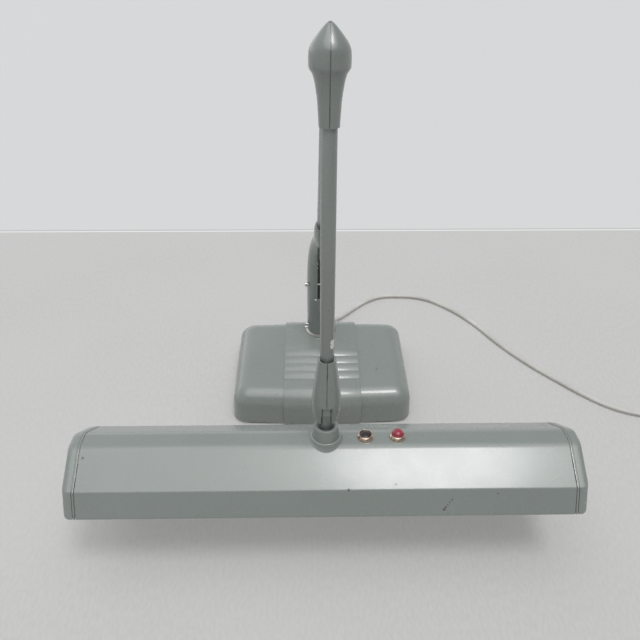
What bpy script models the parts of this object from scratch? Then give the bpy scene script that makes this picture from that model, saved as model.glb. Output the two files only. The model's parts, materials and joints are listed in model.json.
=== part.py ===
"""Balanced-arm fluorescent desk lamp, built from separate parts.

Metres, +Z up, front towards -Y.  The origin is the centre of the underside of the base.
A turret swivels on the base.  The lower arm, the upper arm and the head hang from it in a chain of
empties, one empty on each joint's axis, so every part is modelled in the local space of the body
that carries it.  A rod inside the upper arm keeps the head level with the lower arm's elbow link.
"""
import math

import bmesh
import bpy
from mathutils import Vector
from mathutils.geometry import convex_hull_2d

# ---------------------------------------------------------------- driving dimensions
GAP = 0.0003                      # clearance between touching or sliding pieces
WALL = 0.0012                     # sheet metal

BASE_WIDTH = 0.278
BASE_DEPTH = 0.198
BASE_TOP = 0.0575                 # top of the pressed cover beside the centre band
BASE_SQUARENESS = 11              # superellipse exponent of the plan outline
EDGE_RADIUS = 0.016
BAND_WIDTH = 0.118
BAND_PROUD = 0.0015
RIB_COUNT = 4
RIB_PITCH = 0.0175
RIB_FIRST_Y = 0.009
PAD_THICKNESS = 0.003

TURRET_Y = 0.066                  # swivel axis, behind the middle of the base
TURRET_FOOT = 0.066
TURRET_TOP = 0.242
TURRET_HALF_WIDTH = 0.0225
TURRET_HALF_DEPTH = 0.025
TURRET_SLOT = 0.012               # width of the slot that the arm's tongue swings in

LOWER_PIVOT_Z = 0.190
LOWER_LENGTH = 0.481              # pivot to pivot
LOWER_LEAN = math.radians(35.0)   # forward lean of the lower arm at rest
UPPER_LENGTH = 0.341
UPPER_LEAN = math.radians(8.8)    # forward lean of the upper arm, measured from hanging straight
TUBE_RADIUS = 0.00775
TUBE_BORE = 0.00675
ROD_RADIUS = 0.00125
ROD_OFFSET = 0.008                # upper arm's pivots to its levelling rod's pivots
ROD_ANGLE = math.radians(140.0)   # direction of the rod's pivots from the arm's, up from +Y
TUBE_SHIFT = 0.004                # tube centre line, off the line through its two pivots
PIN_RADIUS = 0.0022
SMALL_PIN = 0.0012

TILT_DROP = 0.041                 # head pivot down to the shade's tilt pin
SHADE_TILT = math.radians(6.0)    # front edge raised
CROWN_DROP = 0.047                # tilt pin down to the crown of the shade
SHADE_LENGTH = 0.610
CAP_LENGTH = 0.015
CROWN_HALF = 0.0123               # half of the flat that the crown's arc is drawn over
SLOPE_LENGTH = 0.0533
SLOPE_ANGLE = math.radians(32.9)
SKIRT_LENGTH = 0.0326
SKIRT_ANGLE = math.radians(67.6)
LAMP_RADIUS = 0.019
LAMP_LENGTH = 0.5898
LAMP_Y = 0.027
LAMP_DROP = 0.0381                # crown down to the lamps' centres
STOP_X = 0.0475
START_X = 0.0862
BUTTON_RADIUS = 0.0069

GLAND_X = 0.020
GLAND_Z = 0.015
GLAND_REACH = 0.0250              # strain relief beyond the rear of the base
CORD_RADIUS = 0.0035
COIL_OUTER = 0.0452               # radii of the coil's outer and inner turns
COIL_INNER = 0.0381
COIL_LOW = 0.0037                 # heights of its lower and upper turns
COIL_HIGH = 0.0108
COIL_CENTRE = (0.585, -0.140)
CORD_ROUTE = [
    (0.0200, 0.1261, 0.0150), (0.0204, 0.1330, 0.0149), (0.0228, 0.1420, 0.0138),
    (0.0278, 0.1510, 0.0112), (0.0345, 0.1600, 0.0078), (0.0425, 0.1695, 0.0049),
    (0.0520, 0.1800, 0.0037), (0.0655, 0.1940, 0.0037), (0.0925, 0.2185, 0.0037),
    (0.1200, 0.2325, 0.0037), (0.1500, 0.2355, 0.0037), (0.2000, 0.2280, 0.0037),
    (0.2400, 0.2020, 0.0037), (0.2850, 0.1500, 0.0037), (0.3200, 0.0900, 0.0037),
    (0.3580, 0.0360, 0.0037), (0.3970, -0.0080, 0.0037), (0.4340, -0.0460, 0.0037),
    (0.4680, -0.0720, 0.0037), (0.5020, -0.0860, 0.0037), (0.5350, -0.0930, 0.0037),
    (0.5593, -0.0948, 0.0037),
]
TAIL_ROUTE = [
    (0.6302, -0.1657, 0.0106), (0.6300, -0.1780, 0.0098), (0.6292, -0.1930, 0.0103),
    (0.6280, -0.2080, 0.0120), (0.6270, -0.2180, 0.0127),
]


# ---------------------------------------------------------------- scene set-up
def clear_scene():
    for obj in list(bpy.data.objects):
        bpy.data.objects.remove(obj, do_unlink=True)


def new_collection(name):
    collection = bpy.data.collections.new(name)
    bpy.context.scene.collection.children.link(collection)
    return collection


clear_scene()
PARTS = new_collection("desk_lamp")
CUTTERS = new_collection("cutters")


def make_finish(name, colour, roughness, metallic=0.0):
    finish = bpy.data.materials.new(name)
    finish.use_nodes = True
    shader = finish.node_tree.nodes["Principled BSDF"]
    shader.inputs["Base Color"].default_value = (*colour, 1.0)
    shader.inputs["Roughness"].default_value = roughness
    shader.inputs["Metallic"].default_value = metallic
    return finish


ENAMEL = ("enamel", (0.36, 0.40, 0.37), 0.35, 0.0)
WHITE_ENAMEL = ("white_enamel", (0.85, 0.85, 0.80), 0.40, 0.0)
CHROME = ("chrome", (0.80, 0.80, 0.80), 0.12, 1.0)
NICKEL = ("nickel", (0.62, 0.55, 0.48), 0.30, 1.0)
STEEL = ("steel", (0.50, 0.50, 0.50), 0.35, 1.0)
IRON = ("iron", (0.10, 0.10, 0.10), 0.70, 0.6)
FELT = ("felt", (0.05, 0.10, 0.06), 0.95, 0.0)
BLACK = ("black_plastic", (0.02, 0.015, 0.018), 0.35, 0.0)
RED = ("red_plastic", (0.40, 0.03, 0.06), 0.30, 0.0)
CREAM = ("cream_plastic", (0.75, 0.72, 0.62), 0.45, 0.0)
LAMP_GLASS = ("lamp_glass", (0.92, 0.92, 0.90), 0.25, 0.0)
CORD = ("cord_vinyl", (0.52, 0.51, 0.48), 0.50, 0.0)


# ---------------------------------------------------------------- modelling helpers
def joint_empty(name, parent, location, turn=0.0):
    """An empty on a joint's axis; turn rotates it about X."""
    empty = bpy.data.objects.new(name, None)
    empty.empty_display_size = 0.02
    empty.location = location
    empty.rotation_euler = (turn, 0.0, 0.0)
    empty.parent = parent
    PARTS.objects.link(empty)
    return empty


def add_object(name, data, finish, parent):
    obj = bpy.data.objects.new(name, data)
    obj.parent = parent
    if finish:
        obj.data.materials.append(make_finish(f"{name}_{finish[0]}", *finish[1:]))
    PARTS.objects.link(obj)
    return obj


def from_bmesh(name, bm, finish, parent):
    mesh = bpy.data.meshes.new(name)
    bm.to_mesh(mesh)
    bm.free()
    mesh.shade_smooth()
    mesh.set_sharp_from_angle(angle=math.radians(35))
    return add_object(name, mesh, finish, parent)


def block(name, low, high, finish=None, parent=None, bevel=0.0):
    """A box between two opposite corners."""
    bm = bmesh.new()
    bmesh.ops.create_cube(bm, size=1.0)
    low, high = Vector(low), Vector(high)
    bmesh.ops.scale(bm, vec=high - low, verts=bm.verts)
    bmesh.ops.translate(bm, vec=(low + high) / 2, verts=bm.verts)
    obj = from_bmesh(name, bm, finish, parent)
    if bevel:
        rounding = obj.modifiers.new("Rounding", 'BEVEL')
        rounding.width = bevel
        rounding.segments = 2
    return obj


def cylinder(name, radius, start, end, finish=None, parent=None, segments=20):
    """A round bar between two points."""
    start, end = Vector(start), Vector(end)
    along = end - start
    bm = bmesh.new()
    bmesh.ops.create_cone(bm, cap_ends=True, segments=segments, radius1=radius, radius2=radius,
                          depth=along.length)
    turn = Vector((0, 0, 1)).rotation_difference(along).to_matrix().to_4x4()
    bmesh.ops.transform(bm, matrix=turn, verts=bm.verts)
    bmesh.ops.translate(bm, vec=(start + end) / 2, verts=bm.verts)
    return from_bmesh(name, bm, finish, parent)


def cross_bar(name, radius, half_width, y, z, finish=None, parent=None, segments=12):
    """A round bar along X, centred on the middle plane."""
    return cylinder(name, radius, (-half_width, y, z), (half_width, y, z), finish, parent, segments)


def turned(name, profile, finish=None, parent=None, centre=(0, 0, 0), steps=24, ring=False):
    """A profile of (radius, height) points turned about a vertical axis; a ring is hollow."""
    bm = bmesh.new()
    points = [bm.verts.new((radius, 0.0, height)) for radius, height in profile]
    for first, second in zip(points, points[1:]):
        bm.edges.new((first, second))
    if ring:
        bm.edges.new((points[-1], points[0]))
    obj = from_bmesh(name, bm, finish, parent)
    obj.location = centre
    screw = obj.modifiers.new("Turn", 'SCREW')
    screw.steps = steps
    screw.render_steps = steps
    screw.use_merge_vertices = True
    screw.merge_threshold = 0.00001
    return obj


def tube(name, outer, bore, bottom, top, y, finish, parent):
    profile = [(outer, top), (outer, bottom), (bore, bottom), (bore, top)]
    return turned(name, profile, finish, parent, centre=(0, y, 0), steps=20, ring=True)


def circle_points(centre, radius, count):
    steps = [2 * math.pi * i / count for i in range(count)]
    return [(centre[0] + radius * math.cos(a), centre[1] + radius * math.sin(a)) for a in steps]


def hull_outline(circles, count=20):
    """The outline of a band stretched round some circles, each (y, z, radius)."""
    points = [p for y, z, radius in circles for p in circle_points((y, z), radius, count)]
    return [points[i] for i in convex_hull_2d(points)]


def to_mesh(obj):
    """Replace a curve object by a welded mesh of the same shape."""
    bpy.context.view_layer.update()
    graph = bpy.context.evaluated_depsgraph_get()
    mesh = bpy.data.meshes.new_from_object(obj.evaluated_get(graph))
    bm = bmesh.new()
    bm.from_mesh(mesh)
    bmesh.ops.remove_doubles(bm, verts=bm.verts, dist=0.000001)
    bm.to_mesh(mesh)
    bm.free()
    made = bpy.data.objects.new(obj.name, mesh)
    made.parent = obj.parent
    made.location = obj.location
    made.rotation_euler = obj.rotation_euler
    name = obj.name
    bpy.data.objects.remove(obj, do_unlink=True)
    made.name = name
    PARTS.objects.link(made)
    return made


def plate(name, outline, x_low, x_high, finish=None, parent=None, holes=()):
    """A flat piece whose outline is drawn in Y and Z; each hole is (y, z, radius)."""
    curve = bpy.data.curves.new(name, 'CURVE')
    curve.dimensions = '2D'
    curve.fill_mode = 'BOTH'
    curve.extrude = (x_high - x_low) / 2
    loops = [outline] + [circle_points((y, z), radius, 16) for y, z, radius in holes]
    for loop in loops:
        spline = curve.splines.new('POLY')
        spline.points.add(len(loop) - 1)
        spline.use_cyclic_u = True
        for point, (y, z) in zip(spline.points, loop):
            point.co = (y, z, 0.0, 1.0)
    obj = add_object(name, curve, finish, parent)
    obj.location = ((x_low + x_high) / 2, 0, 0)
    obj.rotation_euler = (math.pi / 2, 0, math.pi / 2)
    return to_mesh(obj)


def loft(name, rings, finish=None, parent=None):
    """A closed solid through rings of points, each ring with the same number of points."""
    bm = bmesh.new()
    loops = [[bm.verts.new(p) for p in ring] for ring in rings]
    count = len(loops[0])
    for lower, upper in zip(loops, loops[1:]):
        for i in range(count):
            j = (i + 1) % count
            bm.faces.new((lower[i], lower[j], upper[j], upper[i]))
    bm.faces.new(list(reversed(loops[0])))
    bm.faces.new(loops[-1])
    return from_bmesh(name, bm, finish, parent)


def wire(name, points, radius, finish, parent=None, resolution=2):
    """A round wire through a list of points."""
    curve = bpy.data.curves.new(name, 'CURVE')
    curve.dimensions = '3D'
    curve.bevel_depth = radius
    curve.bevel_resolution = resolution
    curve.use_fill_caps = True
    spline = curve.splines.new('POLY')
    spline.points.add(len(points) - 1)
    for point, place in zip(spline.points, points):
        point.co = (*place, 1.0)
    return add_object(name, curve, finish, parent)


def as_tool(obj):
    """Move a helper solid to the cutters."""
    PARTS.objects.unlink(obj)
    CUTTERS.objects.link(obj)
    obj.hide_render = True
    obj.display_type = 'WIRE'
    return obj


def combine(obj, tool, operation):
    if tool.name in PARTS.objects:
        as_tool(tool)
    modifier = obj.modifiers.new(tool.name, 'BOOLEAN')
    modifier.operation = operation
    modifier.object = tool
    modifier.solver = 'EXACT'


def cut(obj, *tools):
    for tool in tools:
        combine(obj, tool, 'DIFFERENCE')


def join(obj, *tools):
    for tool in tools:
        combine(obj, tool, 'UNION')


def superellipse(half_x, half_y, power, z, count=36, centre_y=0.0):
    points = []
    for i in range(count):
        angle = 2 * math.pi * (i + 0.5) / count
        c, s = math.cos(angle), math.sin(angle)
        x = half_x * math.copysign(abs(c) ** (2 / power), c)
        y = half_y * math.copysign(abs(s) ** (2 / power), s)
        points.append((x, centre_y + y, z))
    return points


def arc(centre, radius, start, end, steps):
    """Points on an arc from one angle to another, in degrees."""
    angles = [math.radians(start + (end - start) * i / steps) for i in range(steps + 1)]
    return [(centre[0] + radius * math.cos(a), centre[1] + radius * math.sin(a)) for a in angles]


def fillet(before, corner, after, radius, steps):
    """Points that round one corner of an outline."""
    corner = Vector(corner)
    to_before = (Vector(before) - corner).normalized()
    to_after = (Vector(after) - corner).normalized()
    half = to_before.angle(to_after) / 2
    reach = radius / math.tan(half)
    middle = corner + (to_before + to_after).normalized() * radius / math.sin(half)
    first = corner + to_before * reach - middle
    last = corner + to_after * reach - middle
    points = []
    for i in range(steps + 1):
        ray = first.lerp(last, i / steps).normalized() * radius
        points.append(tuple(middle + ray))
    return points


def smooth_route(route, spacing):
    """Points read at an even spacing from a smooth curve through a route's own points."""
    nodes = [Vector(p) for p in route]
    nodes = [2 * nodes[0] - nodes[1]] + nodes + [2 * nodes[-1] - nodes[-2]]
    fine = []
    for a, b, c, d in zip(nodes, nodes[1:], nodes[2:], nodes[3:]):
        for i in range(20):
            t = i / 20
            fine.append(0.5 * (2 * b + (c - a) * t + (2 * a - 5 * b + 4 * c - d) * t ** 2
                               + (3 * b - a - 3 * c + d) * t ** 3))
    fine.append(nodes[-2])
    lengths = [0.0]
    for first, second in zip(fine, fine[1:]):
        lengths.append(lengths[-1] + (second - first).length)
    count = round(lengths[-1] / spacing)
    points = []
    index = 0
    for i in range(count + 1):
        wanted = lengths[-1] * i / count
        while index < len(fine) - 2 and lengths[index + 1] < wanted:
            index += 1
        share = (wanted - lengths[index]) / (lengths[index + 1] - lengths[index])
        points.append(tuple(fine[index].lerp(fine[index + 1], share)))
    return points


# ---------------------------------------------------------------- joints at rest
TURRET = joint_empty("turret_axis", None, (0, TURRET_Y, 0))
LOWER = joint_empty("lower_arm_axis", TURRET, (0, 0, LOWER_PIVOT_Z), LOWER_LEAN)
ELBOW = joint_empty("elbow_axis", LOWER, (0, 0, LOWER_LENGTH), -LOWER_LEAN)
UPPER = joint_empty("upper_arm_axis", ELBOW, (0, 0, 0), -UPPER_LEAN)
HEAD = joint_empty("head_axis", UPPER, (0, 0, -UPPER_LENGTH), UPPER_LEAN)
TILT = joint_empty("tilt_axis", HEAD, (0, 0, -TILT_DROP), -SHADE_TILT)
SHADE = joint_empty("shade_axis", TILT, (0, 0, -CROWN_DROP))


# the rod's pivot as seen from the arm's, at the elbow and again at the head
ROD_AT = (ROD_OFFSET * math.cos(ROD_ANGLE), ROD_OFFSET * math.sin(ROD_ANGLE))
UPPER_ROD = joint_empty("upper_rod_axis", ELBOW, (0, *ROD_AT), -UPPER_LEAN)


# ---------------------------------------------------------------- base
def base_ring(z, inset):
    return superellipse(BASE_WIDTH / 2 - inset, BASE_DEPTH / 2 - inset, BASE_SQUARENESS, z)


def base_levels(inset, top):
    """Heights and insets up the side of the base, with a rounded top edge."""
    levels = [(PAD_THICKNESS + 0.0002, 0.0), (top - EDGE_RADIUS, 0.0015)]
    for angle in (18, 36, 54, 72, 90):
        a = math.radians(angle)
        levels.append((top - EDGE_RADIUS + EDGE_RADIUS * math.sin(a),
                       0.0015 + EDGE_RADIUS * (1 - math.cos(a))))
    return [(z, inset + extra) for z, extra in levels]


def band_outline():
    """Side view of the centre band: rear edge, ribs along the top, rounded front edge."""
    reach = BASE_DEPTH / 2 + BAND_PROUD
    top = BASE_TOP + BAND_PROUD
    radius = EDGE_RADIUS + BAND_PROUD
    low = PAD_THICKNESS + 0.0002
    points = [(reach, low)]
    points += arc((reach - radius - 0.001, top - radius), radius, 0, 90, 6)
    for rib in range(RIB_COUNT):
        rear = RIB_FIRST_Y - rib * RIB_PITCH
        points += [(rear, top), (rear - 0.0004, top + 0.0013), (rear - 0.0018, top + 0.0012),
                   (rear - 0.0075, top)]
    points += arc((-(reach - radius - 0.001), top - radius), radius, 90, 180, 6)
    points.append((-reach, low))
    return points


def make_base():
    cover = loft("base_cover", [base_ring(z, inset) for z, inset in base_levels(0.0, BASE_TOP)],
                 ENAMEL)
    band = plate("base_band", band_outline(), -BAND_WIDTH / 2, BAND_WIDTH / 2)
    cavity_levels = [(-0.01, 0.0025)] + base_levels(0.0025, BASE_TOP - 0.0025)[1:]
    cavity = loft("base_cavity", [base_ring(z, inset) for z, inset in cavity_levels])
    post_hole = cylinder("post_hole", 0.010, (0, TURRET_Y, 0.03), (0, TURRET_Y, 0.08))
    cord_hole = cylinder("cord_hole", 0.0063, (GLAND_X, 0.085, GLAND_Z), (GLAND_X, 0.110, GLAND_Z))
    join(cover, band)
    cut(cover, cavity, post_hole, cord_hole)

    loft("felt_pad", [base_ring(0.0, 0.004), base_ring(PAD_THICKNESS, 0.004)], FELT)
    plate_low = PAD_THICKNESS + GAP
    loft("bottom_plate", [base_ring(plate_low, 0.0035), base_ring(plate_low + 0.002, 0.0035)], STEEL)
    weight_low = plate_low + 0.002 + GAP
    block("base_weight", (-0.120, -0.080, weight_low), (0.120, 0.082, 0.0240), IRON, None, 0.003)
    block("ballast", (-0.075, -0.066, 0.0243), (0.075, 0.000, 0.0535), IRON, None, 0.002)
    turned("swivel_post", [(0, 0.078), (0.0080, 0.078), (0.0080, 0.030), (0.0150, 0.030),
                           (0.0150, 0.0243), (0, 0.0243)], STEEL, None, (0, TURRET_Y, 0), 24)
    ring_low = BASE_TOP + BAND_PROUD + GAP
    turned("swivel_ring", [(0.0215, TURRET_FOOT - GAP), (0.0235, TURRET_FOOT - 0.0010),
                           (0.0255, ring_low + 0.0020), (0.0262, ring_low), (0.0110, ring_low),
                           (0.0110, TURRET_FOOT - GAP)], CHROME, None, (0, TURRET_Y, 0), 24, True)
    inside = BASE_DEPTH / 2 - 0.0039 - GAP
    wall = 0.0039 + BAND_PROUD + 2 * GAP
    grommet = turned("cord_grommet", [(0.0048, wall + GLAND_REACH), (0.0072, wall + 0.0030),
                                      (0.0080, wall + 0.0015), (0.0080, wall), (0.0060, wall),
                                      (0.0060, 0.0), (0.0085, 0.0), (0.0085, -0.0025),
                                      (0.0038, -0.0025), (0.0038, wall + GLAND_REACH)],
                     BLACK, None, (GLAND_X, inside, GLAND_Z), 16, True)
    grommet.rotation_euler = (-math.pi / 2, 0, 0)


# ---------------------------------------------------------------- cord
def make_cord():
    wire("power_cord", smooth_route(CORD_ROUTE, 0.0150), CORD_RADIUS, CORD)
    outer = COIL_OUTER + CORD_RADIUS
    inner = COIL_INNER - CORD_RADIUS
    low = COIL_LOW - CORD_RADIUS
    high = COIL_HIGH + CORD_RADIUS
    turned("cord_coil", [(outer, high), (outer, low), (inner, low), (inner, high)], CORD,
           None, (*COIL_CENTRE, 0), 32, True)
    wire("cord_tail", smooth_route(TAIL_ROUTE, 0.014), CORD_RADIUS, CORD)
    end, before = Vector(TAIL_ROUTE[-1]), Vector(TAIL_ROUTE[-2])
    along = (end - before).normalized()
    body = turned("plug", [(0, 0.030), (0.0100, 0.030), (0.0125, 0.028), (0.0125, 0.018),
                           (0.0095, 0.012), (0.0060, 0.0), (0, 0.0)], BLACK, None, end, 16)
    body.rotation_euler = Vector((0, 0, 1)).rotation_difference(
        Vector((along.x, along.y, 0))).to_euler()
    body.location = end + along * GAP
    for side in (-1, 1):
        blade = block(f"blade_{side + 1}", (side * 0.0063 - 0.0008, -0.0032, 0.028),
                      (side * 0.0063 + 0.0008, 0.0032, 0.046))
        blade.location = body.location
        blade.rotation_euler = body.rotation_euler
        join(body, blade)


# ---------------------------------------------------------------- halves of a clamshell
def halves(name, build_solid, tools, finish, parent):
    """Left and right shells cut from the same solid, with a fine seam on the middle plane."""
    shells = []
    for side, label in ((-1, "left"), (1, "right")):
        shell = build_solid(f"{name}_{label}", finish)
        shell.parent = parent
        keep_out = block(f"{name}_{label}_half", (-0.1, -0.2, -0.2), (0.1, 0.2, 0.4), None, parent)
        keep_out.location = (-side * (0.1 - GAP / 2), 0, 0)
        cut(shell, *tools, keep_out)
        shells.append(shell)
    return shells


# ---------------------------------------------------------------- turret
TURRET_PROFILE = [(TURRET_FOOT, 1.0), (0.150, 1.0), (0.177, 0.99), (0.196, 0.945), (0.210, 0.885),
                  (0.2230, 0.790), (0.2320, 0.665), (0.2385, 0.500), (TURRET_TOP, 0.260)]


def turret_solid(name, finish, inset=0.0, low=0.0, high=0.0):
    rings = []
    for z, share in TURRET_PROFILE:
        half_x = TURRET_HALF_WIDTH * share - inset
        half_y = TURRET_HALF_DEPTH * share - inset
        if z == TURRET_FOOT:
            z -= low
        if z == TURRET_TOP:
            z -= high
        rings.append(superellipse(half_x, half_y, 2.6, z, 24))
    return loft(name, rings, finish)


def make_turret():
    cavity = turret_solid("turret_cavity", None, 0.0022, 0.01, 0.0025)
    cavity.parent = TURRET
    slot = block("turret_slot", (-TURRET_SLOT / 2, -0.040, 0.138), (TURRET_SLOT / 2, 0.016, 0.30),
                 None, TURRET, 0.001)
    screw_holes = [cross_bar(f"screw_hole_{i}", 0.0018, 0.04, -0.014, z, None, TURRET)
                   for i, z in enumerate((0.081, 0.161))]
    halves("turret_shell", turret_solid, [cavity, slot, *screw_holes], ENAMEL, TURRET)
    for label, z in (("lower", 0.081), ("upper", 0.161)):
        screw = cylinder(f"turret_screw_{label}", 0.0015, (-0.0235, -0.014, z), (0.0175, -0.014, z),
                         STEEL, TURRET, 12)
        head = cylinder(f"screw_head_{label}", 0.0034, (-0.0252, -0.014, z), (-0.0225, -0.014, z),
                        None, TURRET, 16)
        join(screw, head)
    cross_bar("turret_pivot_pin", PIN_RADIUS, 0.0188, 0, LOWER_PIVOT_Z, STEEL, TURRET)
    turned("swivel_bush", [(0.0190, 0.0740), (0.0190, 0.0663), (0.0083, 0.0663), (0.0083, 0.0740)],
           STEEL, TURRET, steps=20, ring=True)


TAIL = 0.018                      # lower pivot to the springs' cross pin


def make_springs():
    """Two extension springs pull the lower arm's tail down to the foot of the turret."""
    tail_y = TAIL * math.sin(LOWER_LEAN)
    tail_z = LOWER_PIVOT_Z - TAIL * math.cos(LOWER_LEAN)
    turns, per_turn = 7, 8
    low, high = 0.0760, tail_z - 0.0030
    for side, label in ((-1, "left"), (1, "right")):
        points = []
        for i in range(turns * per_turn + 1):
            angle = 2 * math.pi * i / per_turn
            height = low + (high - low) * i / (turns * per_turn)
            points.append((side * 0.0095 + 0.0035 * math.cos(angle),
                           tail_y + 0.0035 * math.sin(angle), height))
        wire(f"balance_spring_{label}", points, 0.0008, STEEL, TURRET, 1)


# ---------------------------------------------------------------- lower arm
TONGUE_HALF = 0.0042
FERRULE_TOP = 0.136


def make_lower_arm():
    tube("lower_arm_tube", TUBE_RADIUS, TUBE_BORE, FERRULE_TOP - 0.008, LOWER_LENGTH - 0.040,
         TUBE_SHIFT, ENAMEL, LOWER)
    socket = TUBE_RADIUS + GAP
    bud = turned("lower_arm_ferrule",
                 [(0, FERRULE_TOP - 0.0083), (socket, FERRULE_TOP - 0.0083), (socket, FERRULE_TOP),
                  (0.0100, FERRULE_TOP), (0.0112, 0.128), (0.0118, 0.108), (0.0109, 0.088),
                  (0.0082, 0.070), (0.0050, 0.058), (0, 0.058)],
                 ENAMEL, LOWER, (0, TUBE_SHIFT, 0), 20)
    tongue = plate("lower_tongue", hull_outline([(0, 0, 0.0046), (0, -TAIL, 0.0030),
                                                 (-0.0004, 0.075, 0.0046)]),
                   -TONGUE_HALF, TONGUE_HALF, None, LOWER)
    pivot_hole = cross_bar("lower_pivot_hole", PIN_RADIUS + GAP, 0.02, 0, 0, None, LOWER)
    tail_hole = cross_bar("tail_hole", 0.0015 + GAP, 0.02, 0, -TAIL, None, LOWER)
    join(bud, tongue)
    cut(bud, pivot_hole, tail_hole)
    cross_bar("spring_cross_pin", 0.0015, 0.0135, 0, -TAIL, STEEL, LOWER)

    top = LOWER_LENGTH
    plug = cylinder("lower_arm_fork", TUBE_BORE - GAP, (0, TUBE_SHIFT, top - 0.056),
                    (0, TUBE_SHIFT, top - 0.0345), STEEL, LOWER)
    cheeks = plate("fork_cheeks", hull_outline([(0, top, 0.0046), (0.0030, top - 0.0350, 0.0045)]),
                   -0.0058, 0.0058, None, LOWER)
    between = block("fork_gap", (-0.0043, -0.020, top - 0.0335), (0.0043, 0.020, top + 0.02),
                    None, LOWER)
    pin_hole = cross_bar("fork_pin_hole", PIN_RADIUS + GAP, 0.02, 0, top, None, LOWER)
    join(plug, cheeks)
    cut(plug, between, pin_hole)


def make_levelling_rod():
    """A thin rod inside the upper arm's tube, with a flat eye round each of its two pivots."""
    ends = (0.0, -UPPER_LENGTH)
    rod = cylinder("upper_rod", ROD_RADIUS, (0, 0, ends[0]), (0, 0, ends[1]), STEEL, UPPER_ROD, 10)
    for z in ends:
        eye = cross_bar(f"rod_eye_{z:.2f}", 0.0024, 0.0015, 0, z, None, UPPER_ROD)
        join(rod, eye)
    for z in ends:
        hole = cross_bar(f"rod_hole_{z:.2f}", SMALL_PIN + GAP, 0.01, 0, z, None, UPPER_ROD, 12)
        cut(rod, hole)


# ---------------------------------------------------------------- elbow
def make_elbow():
    """The elbow's pin, and a link that carries the levelling rod's stud on the lower arm."""
    link = plate("elbow_link", hull_outline([(0, 0, 0.0052), (*ROD_AT, 0.0030)]), 0.0018, 0.0038,
                 STEEL, ELBOW, [(0, 0, PIN_RADIUS + GAP)])
    stud = cylinder("rod_stud", SMALL_PIN, (-0.0016, *ROD_AT), (0.0030, *ROD_AT), None, ELBOW, 12)
    join(link, stud)
    cross_bar("elbow_pin", PIN_RADIUS, 0.0155, 0, 0, STEEL, ELBOW)


ELBOW_PROFILE = [(0.0, 0.0285), (0.0042, 0.0258), (0.0084, 0.0212), (0.0123, 0.0165),
                 (0.0158, 0.0115), (0.0180, 0.0071), (0.0187, 0.0023), (0.0187, -0.0073),
                 (0.0174, -0.0106), (0.0156, -0.0135), (0.0138, -0.0188), (0.0123, -0.0271),
                 (0.0111, -0.0356), (0.0105, -0.0442), (0.0100, -0.0529), (0.0097, -0.0590),
                 (0.0, -0.0590)]


def elbow_solid(name, finish):
    return turned(name, ELBOW_PROFILE, finish, None, (0, -0.0035, 0), 24)


def make_elbow_cover():
    inner = [(max(r - 0.0018, 0.0), z) for r, z in ELBOW_PROFILE[1:-3]]
    profile = [(0.0, 0.0262)] + inner + [(TUBE_RADIUS + GAP, -0.0480), (TUBE_RADIUS + GAP, -0.0700),
                                         (0.0, -0.0700)]
    cavity = turned("elbow_cavity", profile, None, UPPER, (0, -0.0035, 0), 24)
    sweep = [(-0.004, 0.0100), (-0.006, 0.0), (-0.003, -0.008), (0.0045, -0.036),
             (0.0060, -0.048), (0.080, -0.048), (0.080, 0.0420), (0.012, 0.0175)]
    slot = plate("elbow_slot", sweep, -0.0084, 0.0084, None, UPPER)
    halves("elbow_cover", elbow_solid, [cavity, slot], ENAMEL, UPPER)


# ---------------------------------------------------------------- upper arm
def make_upper_arm():
    bottom = -UPPER_LENGTH
    tube("upper_arm_tube", TUBE_RADIUS, TUBE_BORE, bottom + 0.030, -0.040, -0.0035, ENAMEL, UPPER)
    foot = cylinder("upper_arm_foot", TUBE_BORE - GAP, (0, -0.0035, bottom + 0.0235),
                    (0, -0.0035, bottom + 0.046), STEEL, UPPER)
    tongue = plate("upper_tongue", hull_outline([(0.0004, bottom, 0.0042),
                                                 (-0.0010, bottom + 0.0255, 0.0040)]),
                   -TONGUE_HALF, TONGUE_HALF, None, UPPER)
    rod_slot = block("foot_rod_slot", (-0.0020, -0.020, bottom + 0.020),
                     (0.0020, -0.0050, bottom + 0.060), None, UPPER)
    hole = cross_bar("upper_foot_hole", PIN_RADIUS + GAP, 0.02, 0, bottom, None, UPPER)
    join(foot, tongue)
    cut(foot, rod_slot, hole)


# ---------------------------------------------------------------- head
HEAD_PROFILE = [(0.0, 0.0354), (0.0099, 0.0354), (0.0121, 0.0180), (0.0140, 0.0030),
                (0.0158, -0.0120), (0.0168, -0.0240), (0.0168, -0.0340), (0.0160, -0.0430),
                (0.0146, -0.0510), (0.0128, -0.0575), (0.0098, -0.0615), (0.0, -0.0630)]


def head_solid(name, finish):
    return turned(name, HEAD_PROFILE, finish, None, (0, 0, 0), 24)


def make_head():
    inner = [(r - 0.0018, z) for r, z in HEAD_PROFILE[2:-2]]
    profile = [(0.0, 0.0500), (0.0088, 0.0500), (0.0088, 0.0350)] + inner + [(0.0, -0.0605)]
    cavity = turned("head_cavity", profile, None, HEAD, (0, 0, 0), 24)
    rear_slot = block("head_rear_slot", (-0.0086, 0.003, -0.010), (0.0086, 0.040, 0.060), None, HEAD)
    knuckle_slot = block("knuckle_slot", (-0.0063, -0.040, -0.070), (0.0063, 0.040, -0.0274), None,
                         HEAD)
    halves("head_casing", head_solid, [cavity, rear_slot, knuckle_slot], ENAMEL, HEAD)
    cross_bar("head_pivot_pin", PIN_RADIUS, 0.0118, 0, 0, STEEL, HEAD)
    cross_bar("head_rod_pin", SMALL_PIN, 0.0085, *ROD_AT, STEEL, HEAD)
    cross_bar("tilt_pin", 0.0020, 0.0128, 0, -TILT_DROP, STEEL, HEAD)


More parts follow.
